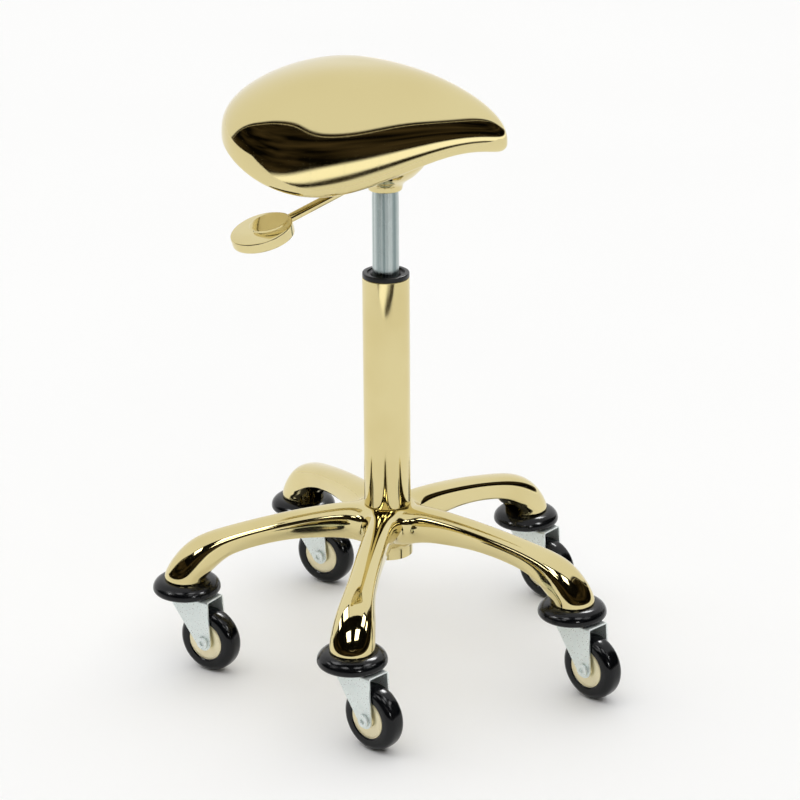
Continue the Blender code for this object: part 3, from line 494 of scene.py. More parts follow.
def filleted(corners, steps=4):
    """A profile from corners (x, y, setback): a corner with a setback is rounded off."""
    points = []
    for i, (x, y, setback) in enumerate(corners):
        before = corners[i - 1] if i else None
        after = corners[i + 1] if i + 1 < len(corners) else None
        if not setback or before is None or after is None:
            points.append((x, y))
            continue
        ends = []
        for other in (before, after):
            length = hypot(other[0] - x, other[1] - y)
            share = min(setback / length, 0.5)
            ends.append((x + (other[0] - x) * share, y + (other[1] - y) * share))
        for j in range(steps + 1):
            t = j / steps
            points.append(tuple((1 - t) ** 2 * a + 2 * t * (1 - t) * c + t ** 2 * b
                                for a, c, b in zip(ends[0], (x, y), ends[1])))
    return points


def bridge(bm, ring_a, ring_b):
    """A band of quads between two closed rows of points."""
    for i in range(len(ring_a)):
        j = (i + 1) % len(ring_a)
        bm.faces.new((ring_a[i], ring_a[j], ring_b[j], ring_b[i]))


def spun(name, profile, look, steps, matrix):
    """A profile of (radius, height) turned about Z; each point keeps its radius as an attribute."""
    bm = bmesh.new()
    ring = bm.verts.layers.float.new("ring")
    turns = [2 * pi * i / steps for i in range(steps)]
    loops = []
    for radius, height in profile:
        loop = [bm.verts.new((radius * cos(turn), radius * sin(turn), height)) for turn in turns]
        for point in loop:
            point[ring] = radius
        loops.append(loop)
    if profile[0][0] > 0.0:
        loops.append(loops[0])
    for loop_a, loop_b in zip(loops, loops[1:]):
        bridge(bm, loop_a, loop_b)
    return finish(bm, name, look, matrix)


def plug(name, radius, low, high, look, steps, matrix):
    """A plain round cutter between two heights."""
    return spun(name, [(0, low), (radius, low), (radius, high), (0, high)], look, steps, matrix)


def prism(name, outline, low, high, look, matrix):
    """A flat outline drawn out along Z."""
    bm = bmesh.new()
    under = [bm.verts.new((x, y, low)) for x, y in outline]
    over = [bm.verts.new((x, y, high)) for x, y in outline]
    bm.faces.new(under)
    bm.faces.new(over)
    bridge(bm, under, over)
    return finish(bm, name, look, matrix)


def arc(cx, cy, radius, start, end, count):
    """Points on an arc, both ends included."""
    step = (end - start) / (count - 1)
    return [(cx + radius * cos(start + step * i), cy + radius * sin(start + step * i))
            for i in range(count)]


def boolean(target, other, operation='DIFFERENCE'):
    step = target.modifiers.new(operation.lower(), 'BOOLEAN')
    step.operation = operation
    step.object = other
    step.solver = 'EXACT'


def bevel(piece, width, segments=3, limit=radians(35)):
    step = piece.modifiers.new("edge_rounding", 'BEVEL')
    step.width = width
    step.segments = segments
    step.limit_method = 'ANGLE'
    step.angle_limit = limit
    step.harden_normals = False


def settle(piece, body, slot, *nodes):
    """The piece rides on a body and stands for CAD nodes, which it hides; its slot is not used."""
    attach(piece, body)
    if nodes:
        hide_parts(*nodes)
    return piece


def span(name, origin, axis=UP):
    """Inner radius, outer radius, lowest and highest place of a CAD node about an axis."""
    radii = []
    places = []
    for vertex in frame["nodes"][name].data.vertices:
        offset = vertex.co - origin
        along = offset.dot(axis)
        radii.append((offset - axis * along).length)
        places.append(along)
    return min(radii), max(radii), min(places), max(places)


# ================================================================ casting
SPOTS = {k: Vector(JOINTS["caster_swivel_%d" % k]["pos_m"]) for k in CASTERS}
CASTER_CIRCLE = (SPOTS[1] - COLUMN).xy.length
LEG_PHASE = atan2(SPOTS[1].y - COLUMN.y, SPOTS[1].x - COLUMN.x)
FOOT_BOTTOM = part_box("star_base")[0].z
LEG_TOP = FOOT_BOTTOM + LEG_RISE
HUB_TOP = LEG_TOP - HUB_SINK
HUB_BOTTOM = frame["record"]["mounts"][0]["pos_m"][2]
TUBE_TOP = span("column_tube", COLUMN)[3]
TUBE_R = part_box("column_tube")[1].x - COLUMN.x
HUB_R = TUBE_R + HUB_WALL
SPIGOT_R = TUBE_R - SPIGOT_STEP


def leg_stations():
    """Crown point, belly point (radius, height), half width and roundness along a leg."""
    slim = LEG_HALF_WIDTH
    foot_out = CASTER_CIRCLE + FOOT_R
    foot_in = CASTER_CIRCLE - FOOT_R
    root = HUB_R + LEG_ROOT
    bend = CASTER_CIRCLE - FOOT_BEND
    under_bend = bend - 0.016
    return [
        ((root, LEG_TOP), (root, LEG_TOP - LEG_DEPTH), slim, 0.0),
        (((root + bend) / 2, LEG_TOP - LEG_RISE * 0.09),
         ((root + under_bend) / 2, LEG_TOP - LEG_RISE * 0.42), slim, 0.0),
        ((bend, LEG_TOP - LEG_RISE * 0.26), (under_bend, LEG_TOP - LEG_RISE * 0.56),
         slim * 1.03, 0.1),
        ((bend + 0.040, LEG_TOP - LEG_RISE * 0.40), (under_bend + 0.019, LEG_TOP - LEG_RISE * 0.71),
         slim + (FOOT_R - slim) * 0.5, 0.5),
        ((foot_out - 0.009, LEG_TOP - LEG_RISE * 0.71), (foot_in - 0.006, LEG_TOP - LEG_RISE * 0.87),
         FOOT_R * 0.97, 0.85),
        ((foot_out, FOOT_BOTTOM + FOOT_SOLE), (foot_in, FOOT_BOTTOM + FOOT_SOLE), FOOT_R, 1.0),
        ((foot_out, FOOT_BOTTOM), (foot_in, FOOT_BOTTOM), FOOT_R, 1.0),
    ]


def leg_ring(station):
    """Ten points round a leg, from the crown down one side to the belly and up the other."""
    (crown_x, crown_z), (belly_x, belly_z), half, roundness = station
    depth = hypot(crown_x - belly_x, crown_z - belly_z)
    bar = [(0.0, 1.0), (0.58, 1.0 - 0.0012 / depth), (1.0, 1.0 - 0.0080 / depth),
           (0.84, 0.03), (0.42, 0.0), (0.0, 0.0)]
    ring = []
    for i, (side, rise) in enumerate(bar):
        turn = pi * i / 5
        side += (sin(turn) - side) * roundness
        rise += (0.5 + 0.5 * cos(turn) - rise) * roundness
        x = belly_x + (crown_x - belly_x) * rise
        z = belly_z + (crown_z - belly_z) * rise
        ring.append((x, side * half, z))
    return ring + [(x, -y, z) for x, y, z in ring[4:0:-1]]


def crease_ring(bm, layer, ring, amount):
    for i in range(len(ring)):
        bm.edges.get((ring[i], ring[(i + 1) % len(ring)]))[layer] = amount


def star_cage():
    """Control cage of the casting: a hub and five legs of quads, with creased ridges."""
    bm = bmesh.new()
    crease = bm.edges.layers.float.new("crease_edge")
    columns = 6 * LEGS
    step = 2 * pi / columns
    swell = 6 / (4 + 2 * cos(step))

    def hub_ring(radius, height):
        size = radius * swell
        return [bm.verts.new((size * cos(step * i), size * sin(step * i), height))
                for i in range(columns)]

    bore_r = SPIGOT_R + GAP
    bore_top = hub_ring(bore_r, HUB_TOP)
    bore_bottom = hub_ring(bore_r, HUB_BOTTOM)
    rim = hub_ring(HUB_R, HUB_TOP)
    neck_height = LEG_TOP - LEG_DEPTH - NECK_DROP
    neck = hub_ring(HUB_R, neck_height)
    skirt = hub_ring(HUB_R, (2 * HUB_BOTTOM + neck_height) / 3)
    waist = hub_ring(HUB_R, (HUB_BOTTOM + 2 * neck_height) / 3)
    base_ring = hub_ring(HUB_R, HUB_BOTTOM)
    for ring_a, ring_b in ((bore_top, bore_bottom), (rim, bore_top), (bore_bottom, base_ring),
                           (base_ring, skirt), (skirt, waist), (waist, neck)):
        bridge(bm, ring_a, ring_b)
    for ring in (bore_top, bore_bottom, base_ring):
        crease_ring(bm, crease, ring, 1.0)
    crease_ring(bm, crease, rim, 0.6)

    crotches = []
    for k in range(LEGS):
        heading = step * (6 * k + 3)
        out = HUB_R + CROTCH_OUT
        crotches.append([bm.verts.new((out * cos(heading), out * sin(heading), height))
                         for height in (LEG_TOP - 0.010, LEG_TOP - LEG_DEPTH + 0.004)])

    for k in range(LEGS):
        heading = Matrix.Rotation(step * 6 * k, 4, 'Z')
        rings = [[bm.verts.new(heading @ Vector(point)) for point in leg_ring(station)]
                 for station in leg_stations()]
        for ring_a, ring_b in zip(rings, rings[1:]):
            bridge(bm, ring_b, ring_a)
        sole = rings[-1]
        for corners in ((0, 1, 9), (9, 1, 2, 8), (8, 2, 3, 7), (7, 3, 4, 6), (6, 4, 5)):
            bm.faces.new([sole[corner] for corner in corners])
        crease_ring(bm, crease, sole, 0.9)
        for ring_a, ring_b in zip(rings[:4], rings[1:5]):
            for corner, amount in ((2, 0.12), (8, 0.12), (3, 0.45), (7, 0.45)):
                bm.edges.get((ring_a[corner], ring_b[corner]))[crease] = amount
        first = rings[0]
        for side in (1, -1):
            at = [(6 * k + side * i) % columns for i in range(4)]
            high, low = crotches[k if side > 0 else (k - 1) % LEGS]
            crown = [first[side * i % 10] for i in (0, 1, 2)]
            belly = [first[side * i % 10] for i in (5, 4, 3)]
            for corners in (
                    (rim[at[0]], rim[at[1]], crown[1], crown[0]),
                    (rim[at[1]], rim[at[2]], crown[2], crown[1]),
                    (rim[at[2]], rim[at[3]], high, crown[2]),
                    (crown[2], high, low, belly[2]),
                    (belly[2], low, neck[at[3]], neck[at[2]]),
                    (belly[1], belly[2], neck[at[2]], neck[at[1]]),
                    (belly[0], belly[1], neck[at[1]], neck[at[0]])):
                bm.faces.new(corners)
    return bm


def foot_cutters(turn):
    """The hollow that opens a foot towards the hub, with its stem boss, and the stem's bore."""
    half = FOOT_HOLLOW_HALF_WIDTH
    below = FOOT_BOTTOM - 0.008
    outline = [(half, -0.008)] + arc(0, FOOT_HOLLOW - half, half, 0, pi, 33) + [(-half, -0.008)]
    upright = Matrix(((0, 0, 1, 0), (1, 0, 0, 0), (0, 1, 0, FOOT_BOTTOM), (0, 0, 0, 1)))
    hollow = prism("foot_hollow_cut", outline, CASTER_CIRCLE - FOOT_R - 0.012,
                   CASTER_CIRCLE + 0.002, CAST_GOLD, turn @ upright)
    stem = turn @ Matrix.Translation((CASTER_CIRCLE, 0, 0))
    stem_r, stem_top = span("stem_1", SPOTS[1])[1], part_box("stem_1")[1].z
    boss = plug("stem_boss_cut", BOSS_R, below - 0.002, FOOT_BOTTOM + 0.040, CAST_GOLD, 48, stem)
    bore_r = min(stem_r, STEM_R) + GAP
    bore = plug("stem_bore_cut", bore_r, below, stem_top + GAP, CAST_GOLD, 48, stem)
    return hollow, boss, bore


def build_casting():
    middle = Matrix.Translation(COLUMN) @ Matrix.Rotation(LEG_PHASE, 4, 'Z')
    base = finish(star_cage(), "cast_star_base", CAST_GOLD, middle)
    smooth = base.modifiers.new("smooth", 'SUBSURF')
    smooth.levels = CAST_SMOOTHING
    smooth.render_levels = CAST_SMOOTHING
    for k in range(LEGS):
        turn = middle @ Matrix.Rotation(2 * pi * k / LEGS, 4, 'Z')
        hollow, boss, bore = foot_cutters(turn)
        boolean(hollow, boss)
        hollow = applied(hollow)
        boolean(base, hollow)
        boolean(base, bore)
    settle(applied(base, radians(28)), "base", "gold_casting", "star_base")


# ================================================================ column and lift
def at_column(height=0.0):
    return Matrix.Translation(COLUMN + UP * height)


def build_column():
    inner, _, low, high = span("column_tube", COLUMN)
    shoulder = HUB_TOP + GAP
    wall = TUBE_R - 0.0022
    tube = spun("column_tube_skin", filleted([
        (SPIGOT_R, low, 0), (SPIGOT_R, shoulder, 0), (TUBE_R, shoulder, 0.0009), (TUBE_R, high, 0.0007),
        (wall, high, 0.0004), (wall, shoulder + 0.006, 0), (SPIGOT_R - 0.002, shoulder, 0),
        (SPIGOT_R - 0.002, low + 0.004, 0), (inner, low + 0.004, 0), (inner, low, 0)]),
        STEEL_GOLD, 128, at_column())
    settle(tube, "base", "gold_steel", "column_tube")
    slide, lip, low, high = span("column_bushing", COLUMN)
    bush = spun("column_bushing_moulding", filleted([
        (wall - GAP, low, 0.0008), (wall - GAP, TUBE_TOP + GAP, 0), (lip, TUBE_TOP + GAP, 0.0003),
        (lip, high, 0.0014), (lip - 0.0048, high, 0.0008), (lip - 0.0054, high - 0.0022, 0.0003),
        (slide + 0.0022, high - 0.0022, 0.0006), (slide, high - 0.0046, 0.0010), (slide, low, 0)]),
        BUSH_BLACK, 128, at_column())
    settle(bush, "base", "black_plastic", "column_bushing")


def build_cylinder():
    hole, outer, low, high = span("gas_cylinder", COLUMN)
    bore = outer - 0.0018
    neck = high - 0.022
    cylinder = spun("gas_cylinder_tube", filleted([
        (bore, low, 0.0002), (outer, low, 0.0005), (outer, neck, 0), (outer - 0.0007, high, 0.0012),
        (hole, high, 0.0002), (hole, high - 0.004, 0), (bore - 0.002, high - 0.004, 0),
        (bore, high - 0.008, 0)]), ZINC_TUBE, 128, at_column())
    settle(cylinder, "lift", "zinc_tube", "gas_cylinder")


# ================================================================ mechanism and lever
PIVOT = Vector(JOINTS["lever_lift"]["pos_m"])
LEVER_HEADING = atan2(PIVOT.y - COLUMN.y, PIVOT.x - COLUMN.x)
LEVER_DROP = radians(15.4)
LEVER_R = 0.0047
PIN_R = 0.0023            # lever's pivot pin
LUG_R = 0.0044
COLLAR_R = 0.0178
COLLAR_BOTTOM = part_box("mechanism_housing")[0].z
FLANGE_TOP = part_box("mechanism_housing")[1].z


def lever_line():
    """Turns +X to the lever's line, with the origin on the pivot."""
    return (Matrix.Translation(PIVOT) @ Matrix.Rotation(LEVER_HEADING, 4, 'Z')
            @ Matrix.Rotation(LEVER_DROP, 4, 'Y'))


def build_housing():
    low = COLLAR_BOTTOM
    collar = COLLAR_R
    bore = span("gas_cylinder", COLUMN)[1] + GAP
    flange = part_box("mechanism_housing")[1].x - COLUMN.x
    funnel = flange - 0.0115
    under = FLANGE_TOP - 0.005
    inside = funnel - 0.004
    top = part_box("gas_cylinder")[1].z
    housing = spun("mechanism_casting", filleted([
        (bore - 0.0002, low, 0), (collar, low, 0.0016), (collar + 0.0008, low + 0.0060, 0.002),
        (collar + 0.0047, low + 0.0100, 0.003), (funnel - 0.0145, low + 0.0165, 0.004),
        (funnel - 0.0045, low + 0.0270, 0.005), (funnel - 0.0008, low + 0.0370, 0.004),
        (funnel, under, 0.0010), (flange, under, 0.0010), (flange, FLANGE_TOP, 0.0006),
        (inside, FLANGE_TOP, 0), (inside - 0.001, low + 0.0370, 0.002),
        (inside - 0.0045, low + 0.0290, 0.002), (inside - 0.0130, low + 0.0200, 0.002),
        (collar + 0.0005, top, 0), (bore - 0.0007, top, 0)]), CAST_GOLD, 96, at_column())
    line = lever_line()
    side = LEVER_R + 0.0008
    for sign in (1, -1):
        near, far = sorted((sign * (side + GAP), sign * (side + 0.005)))
        ring = [(PIN_R, near), (LUG_R, near), (LUG_R, far), (PIN_R, far)]
        lug = spun("lug_join", ring, CAST_GOLD, 32, line @ Matrix.Rotation(pi / 2, 4, 'X'))
        boolean(housing, lug, 'UNION')
    reach = LEVER_R + 0.0040
    slot_shape = [(-0.0095, -side), (0.040, -side), (0.040, side), (-0.0095, side)]
    boolean(housing, prism("slot_cut", slot_shape, -reach, reach, CAST_GOLD, line))
    settle(applied(housing), "lift", "gold_steel", "mechanism_housing")


def build_lever():
    along = lever_line() @ Matrix.Rotation(pi / 2, 4, 'Y')
    direction = (lever_line() @ Vector((1, 0, 0, 0))).xyz
    inner, outer = span("lever_rod", PIVOT, direction)[2:]
    rod = spun("lever_rod_bar", filleted([
        (0, inner, 0), (LEVER_R, inner, 0.0010), (LEVER_R, outer, 0.0004), (0, outer, 0)]),
        STEEL_GOLD, 64, along)
    across = lever_line() @ Matrix.Rotation(pi / 2, 4, 'X')
    boolean(rod, plug("eye_cut", PIN_R, -0.01, 0.01, STEEL_GOLD, 32, across))
    settle(applied(rod), "lever", "gold_steel", "lever_rod")
    build_paddle(direction)


def paddle_top(x, y, radius, half):
    """Height of the paddle's upper face: a flat round pad, and a crescent that falls away."""
    pad_x = -(radius - PAD_R - 0.002)
    beyond = hypot(x - pad_x, y) - PAD_R
    if beyond <= 0:
        return half + PAD_STEP
    edge = min(beyond / 0.0012, 1.0)
    step = PAD_STEP * (1 - edge * edge * (3 - 2 * edge))
    fall = min(beyond / (2 * (radius - PAD_R)), 1.0)
    return half + step - DISH_DEPTH * fall * fall * (1.6 - 0.6 * fall)


def build_paddle(direction):
    """Round paddle: a padded face, a rounded rim and a flat underside, in circles of points."""
    near, far = span("lever_paddle", PIVOT, direction)[2:]
    radius = (far - near) / 2
    half = LEVER_R + 0.0020
    centre = lever_line() @ Matrix.Translation(((near + far) / 2, 0, 0))
    count = 144
    circles = 44
    top_rim = radius - PADDLE_RIM
    under_rim = radius - PADDLE_UNDER_RIM
    bm = bmesh.new()

    def circle(size, height):
        """A ring of points whose height is a value, or follows from the direction."""
        made = []
        for i in range(count):
            x = cos(2 * pi * i / count)
            y = sin(2 * pi * i / count)
            z = height(x, y) if callable(height) else height
            made.append(bm.verts.new((size * x, size * y, z)))
        return made

    def face_at(size, sunk=0.0):
        return lambda x, y: paddle_top(size * x, size * y, radius, half) - sunk

    rows = []
    for i in range(1, circles + 1):
        size = top_rim * i / circles
        rows.append(circle(size, face_at(size)))
    for turn in (pi / 8, pi / 4, 3 * pi / 8, pi / 2):
        sunk = PADDLE_RIM * (1 - cos(turn))
        rows.append(circle(top_rim + PADDLE_RIM * sin(turn), face_at(top_rim, sunk)))
    for turn in (0, pi / 8, pi / 4, 3 * pi / 8, pi / 2):
        height = PADDLE_UNDER_RIM * (1 - sin(turn)) - half
        rows.append(circle(under_rim + PADDLE_UNDER_RIM * cos(turn), height))
    rows.append(circle(0.5 * radius, -half))
    for row_a, row_b in zip(rows, rows[1:]):
        bridge(bm, row_a, row_b)
    for row, height in ((rows[0], paddle_top(0, 0, radius, half)), (rows[-1], -half)):
        pole = bm.verts.new((0, 0, height))
        for i in range(count):
            bm.faces.new((row[i], row[(i + 1) % count], pole))
    paddle = finish(bm, "lever_paddle_disc", STEEL_GOLD, centre)
    boolean(paddle, plug("socket_cut", LEVER_R + GAP, near - 0.01, near + 0.012, STEEL_GOLD, 48,
                         lever_line() @ Matrix.Rotation(pi / 2, 4, 'Y')))
    settle(applied(paddle, radians(24)), "lever", "gold_steel", "lever_paddle")


# ================================================================ seat
def seat_reach(angle):
    """Distance from the seat's middle to its widest line, as forward and sideways parts."""
    share = 0.5 + 0.5 * cos(angle)
    blend = 1 / (1 + exp(-8 * cos(angle)))
    length = SEAT_FRONT * blend + SEAT_REAR * (1 - blend)
    side = SEAT_HALF_WIDTH * (1 - NOSE_TAPER * pow(share, NOSE_POWER))
    return length * cos(angle), side * sin(angle)


def seat_rim_height(angle):
    waves = sum(size * cos((i + 1) * angle) for i, size in enumerate(RIM_WAVES))
    return COLLAR_BOTTOM + RIM_RISE + waves


def dome_point(angle, rise, wall):
    """A point on the dome: rise is 90 degrees at the crown and 0 at the widest line."""
    x, y = seat_reach(angle)
    reach = hypot(x, y)
    share = pow(cos(rise), 2 / DOME_POWER) if rise < pi / 2 else 0.0
    lift = pow(sin(rise), 2 / DOME_POWER) if rise > 0 else 0.0
    rim = seat_rim_height(angle)
    crown = COLLAR_BOTTOM + CROWN_RISE - wall
    shrink = (reach - wall) / reach * share
    height = rim + (crown - rim) * lift
    height += CROWN_SLOPE * x * share * lift + CROWN_DIP * (x * share) ** 2 * lift
    return x * shrink, y * shrink, height


def roll_point(angle, turn, wall):
    """A point on the rolled lower edge, from the widest line round to its underside."""
    x, y = seat_reach(angle)
    reach = hypot(x, y)
    radius = RIM_ROLL - wall
    shrink = (reach - RIM_ROLL + radius * cos(turn)) / reach
    return x * shrink, y * shrink, seat_rim_height(angle) - radius * sin(turn)


def build_seat(count=240):
    bm = bmesh.new()
    rows = [(dome_point, 88 * (1 - (i / 44) ** 1.1), 0.0) for i in range(45)]
    rows += [(roll_point, 105 * i / 12, 0.0) for i in range(1, 13)]
    rows += [(roll_point, 105 - 105 * i / 8, SEAT_WALL) for i in range(9)]
    rows += [(dome_point, 86 * i / 24, SEAT_WALL) for i in range(1, 25)]
    loops = []
    for make, degrees, wall in rows:
        loops.append([bm.verts.new(make(2 * pi * i / count, radians(degrees), wall))
                      for i in range(count)])
    for loop_a, loop_b in zip(loops, loops[1:]):
        bridge(bm, loop_a, loop_b)
    for loop, wall in ((loops[0], 0.0), (loops[-1], SEAT_WALL)):
        pole = bm.verts.new(dome_point(0.0, pi / 2, wall))
        for i in range(count):
            bm.faces.new((loop[i], loop[(i + 1) % count], pole))
    heading = Matrix.Rotation(SEAT_YAW, 4, 'Z')
    middle = Matrix.Translation(COLUMN) @ heading @ Matrix.Translation((SEAT_SHIFT, 0, 0))
    shell = finish(bm, "seat_shell_skin", SHELL_GOLD, middle, radians(50))
    settle(shell, "lift", "gold_shell", "seat_shell")


# ================================================================ casters
def caster_place(k):
    """Place that turns +X to the trail from the floor under the stem, with the trail and axle."""
    axle = wheel_axle(k)[0]
    trail = (axle - SPOTS[k]).xy
    heading = Matrix.Rotation(atan2(trail.y, trail.x), 4, 'Z')
    return Matrix.Translation((SPOTS[k].x, SPOTS[k].y, 0)) @ heading, trail.length, axle


def wheel_axle(k):
    """A wheel's middle, its axle's outward direction, and the place that has +Z along it."""
    joint = JOINTS["wheel_spin_%d" % k]
    middle = Vector(joint["pos_m"])
    axis = -Vector(joint["axis"]).normalized()
    return middle, axis, Matrix.Translation(middle) @ UP.rotation_difference(axis).to_matrix().to_4x4()


def tangent_angle(point, centre, radius, side):
    """Direction from a circle's centre to where a line from the point touches the circle."""
    dx = point[0] - centre[0]
    dy = point[1] - centre[1]
    return atan2(dy, dx) + side * acos(radius / hypot(dx, dy))


def fork_side(trail, wheel_r, fork_top, inset):
    """Side view of a fork as (x, z); the inset is taken off its top and leading edges."""
    axle = (trail, wheel_r)
    lead = (-FORK_LEAD + inset, fork_top - inset)
    tail = (trail + FORK_TAIL + (0.02 if inset else 0.0), fork_top - inset)
    eye = FORK_EYE_R - inset
    start = tangent_angle(lead, axle, eye, 1)
    if inset:
        foot = (axle[0] + eye * cos(start), axle[1] + eye * sin(start))
        past = (foot[0] + (foot[0] - lead[0]) * 0.5, foot[1] + (foot[1] - lead[1]) * 0.5)
        return [lead, past, (tail[0], past[1]), tail]
    end = tangent_angle(tail, axle, FORK_EYE_R, -1)
    corners = [(*lead, 0)] + [(*point, 0) for point in arc(*axle, FORK_EYE_R, start, end + 2 * pi, 28)]
    return filleted(corners + [(*tail, 0)])


def fork_section(half, top, radius):
    """Cross-section of the fork's outside: a block with two rounded upper corners."""
    return filleted([(-half, -0.01, 0), (-half, top, radius), (half, top, radius), (half, -0.01, 0)], 6)


def build_fork(k, place, trail, wheel_r):
    """Pressed fork with rounded corners: two cheeks, a top plate and a leading web."""
    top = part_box("fork_%d" % k)[1].z
    axle, axis, across = wheel_axle(k)
    half = span("fork_%d" % k, axle, -axis)[3]
    inner = half - FORK_SHEET
    sideways = place @ Matrix(((1, 0, 0, 0), (0, 0, 1, 0), (0, 1, 0, 0), (0, 0, 0, 1)))
    endways = place @ Matrix(((0, 0, 1, 0), (1, 0, 0, 0), (0, 1, 0, 0), (0, 0, 0, 1)))
    fork = prism("caster_fork_%d" % k, fork_side(trail, wheel_r, top, 0.0), -half, half,
                 ZINC_SHEET, sideways)
    boolean(fork, prism("section_cut", fork_section(half, top, FORK_BEND), -0.06, 0.08, ZINC_SHEET,
                        endways), 'INTERSECT')
    hollow = prism("fork_hollow_cut", fork_side(trail, wheel_r, top, FORK_SHEET), -inner, inner,
                   ZINC_SHEET, sideways)
    boolean(hollow, prism("hollow_section_cut",
                          fork_section(inner + 0.00001, top - FORK_SHEET, FORK_BEND - FORK_SHEET),
                          -0.07, 0.09, ZINC_SHEET, endways), 'INTERSECT')
    hollow = applied(hollow)
    boolean(fork, hollow)
    past = inner + 0.0002
    boolean(fork, plug("well_cut", wheel_r + FORK_WELL, -past, past, ZINC_SHEET, 96, across))
    boolean(fork, plug("eye_cut", FORK_BOLT_HOLE_R, -0.03, 0.03, ZINC_SHEET, 40, across))
    boolean(fork, plug("stem_cut", FORK_STEM_HOLE_R, top - 0.004, top + 0.002, ZINC_SHEET, 40, place))
    fork = applied(fork)
    bevel(fork, FORK_EDGE, 2)
    settle(applied(fork, radians(40)), "caster_%d" % k, "bright_zinc", "fork_%d" % k)


def build_wheel(k):
    axle, axis, across = wheel_axle(k)
    inner, outer, low, high = span("tyre_%d" % k, axle, axis)
    side = (high - low) / 2
    bore, disc, hub_low, hub_high = span("wheel_core_%d" % k, axle, axis)
    hub = (hub_high - hub_low) / 2
    face = side - 0.0010
    half = [(inner, side - 0.0014, 0), (inner + 0.0012, side - 0.0002, 0.0008),
            (inner + 0.0055, side, 0.0030), (outer - 0.0050, side - 0.0004, 0.0034),
            (outer - 0.0006, side * 0.62, 0.0040), (outer, 0.0, 0.0050)]
    tread = half + [(r, -z, s) for r, z, s in reversed(half[:-1])]
    tyre = spun("tyre_tread_%d" % k, filleted(tread, 6), TYRE_BLACK, 112, across)
    settle(tyre, "wheel_%d" % k, "black_tyre", "tyre_%d" % k)
    upper = [(bore, hub, 0), (WHEEL_HUB_R, hub, 0.0006), (WHEEL_HUB_R, face - 0.0004, 0.0004),
             (0.0105, face - 0.0004, 0.0006), (disc - 0.0022, face, 0.0004),
             (disc - 0.0014, face - 0.0005, 0.0003), (disc - 0.0006, face, 0.0003),
             (disc, face, 0.0004)]
    profile = upper + [(r, -z, s) for r, z, s in reversed(upper)]
    core = spun("wheel_disc_%d" % k, filleted(profile, 3), DISC_GOLD, 96, across)
    settle(core, "wheel_%d" % k, "gold_disc", "wheel_core_%d" % k)


def build_hood(k, place):
    bore, outer, low, high = span("hood_%d" % k, Vector((SPOTS[k].x, SPOTS[k].y, 0)))
    round_r = 0.0046
    widest = low + round_r
    flat = FOOT_R - 0.001
    dome = [(flat + (outer - flat) * sin(pi * i / 40), widest + (high - widest) * cos(pi * i / 40))
            for i in range(21)]
    roll = [(outer - round_r * (1 - cos(pi * i / 24)), widest - round_r * sin(pi * i / 24))
            for i in range(1, 12)]
    recess = low + 0.004
    profile = dome + roll + [(outer - round_r, low), (outer - 0.0070, low + 0.0006),
                             (outer - 0.0080, recess), (HOOD_HUB_R, recess), (HOOD_HUB_R, low),
                             (bore, low), (bore, high)]
    settle(spun("caster_hood_%d" % k, profile, HOOD_BLACK, 112, place), "base", "black_hood",
           "hood_%d" % k)


# ================================================================ fasteners by Geometry Nodes
class Nodes:
    """A Geometry Nodes tree under way, with named inputs."""

    def __init__(self, name, inputs):
        self.tree = bpy.data.node_groups.new(name, "GeometryNodeTree")
        self.tree.is_modifier = True
        self.tree.interface.new_socket("Geometry", in_out="INPUT", socket_type="NodeSocketGeometry")
        self.keys = {}
        for label, kind, value in inputs:
            socket = self.tree.interface.new_socket(label, in_out="INPUT",
                                                    socket_type="NodeSocket" + kind)
            socket.default_value = value
            self.keys[label] = socket.identifier
        self.tree.interface.new_socket("Geometry", in_out="OUTPUT", socket_type="NodeSocketGeometry")
        self.source = self.tree.nodes.new("NodeGroupInput").outputs
        self.sink = self.tree.nodes.new("NodeGroupOutput").inputs

    def add(self, kind, inputs=None, **settings):
        made = self.tree.nodes.new(kind)
        for key, value in settings.items():
            setattr(made, key, value)
        for label, value in (inputs or {}).items():
            socket = made.inputs[label]
            if isinstance(value, bpy.types.NodeSocket):
                self.tree.links.new(value, socket)
            else:
                socket.default_value = value
        return made.outputs

    def math(self, operation, first, second):
        return self.add("ShaderNodeMath", {0: first, 1: second}, operation=operation)[0]

    def raised(self, geometry, height):
        """The geometry moved along Z."""
        offset = self.add("ShaderNodeCombineXYZ", {"Z": height})[0]
        return self.add("GeometryNodeTransform", {"Geometry": geometry, "Translation": offset})[0]

    def joined(self, *parts):
        made = self.tree.nodes.new("GeometryNodeJoinGeometry")
        for part in reversed(parts):
            self.tree.links.new(part, made.inputs[0])
        return made.outputs[0]

    def close(self, geometry, look):
        """Realizes, paints and hands out the geometry."""
        real = self.add("GeometryNodeRealizeInstances", {"Geometry": geometry})[0]
        painted = self.add("GeometryNodeSetMaterial", {"Geometry": real, "Material": look})[0]
        self.tree.links.new(painted, self.sink[0])


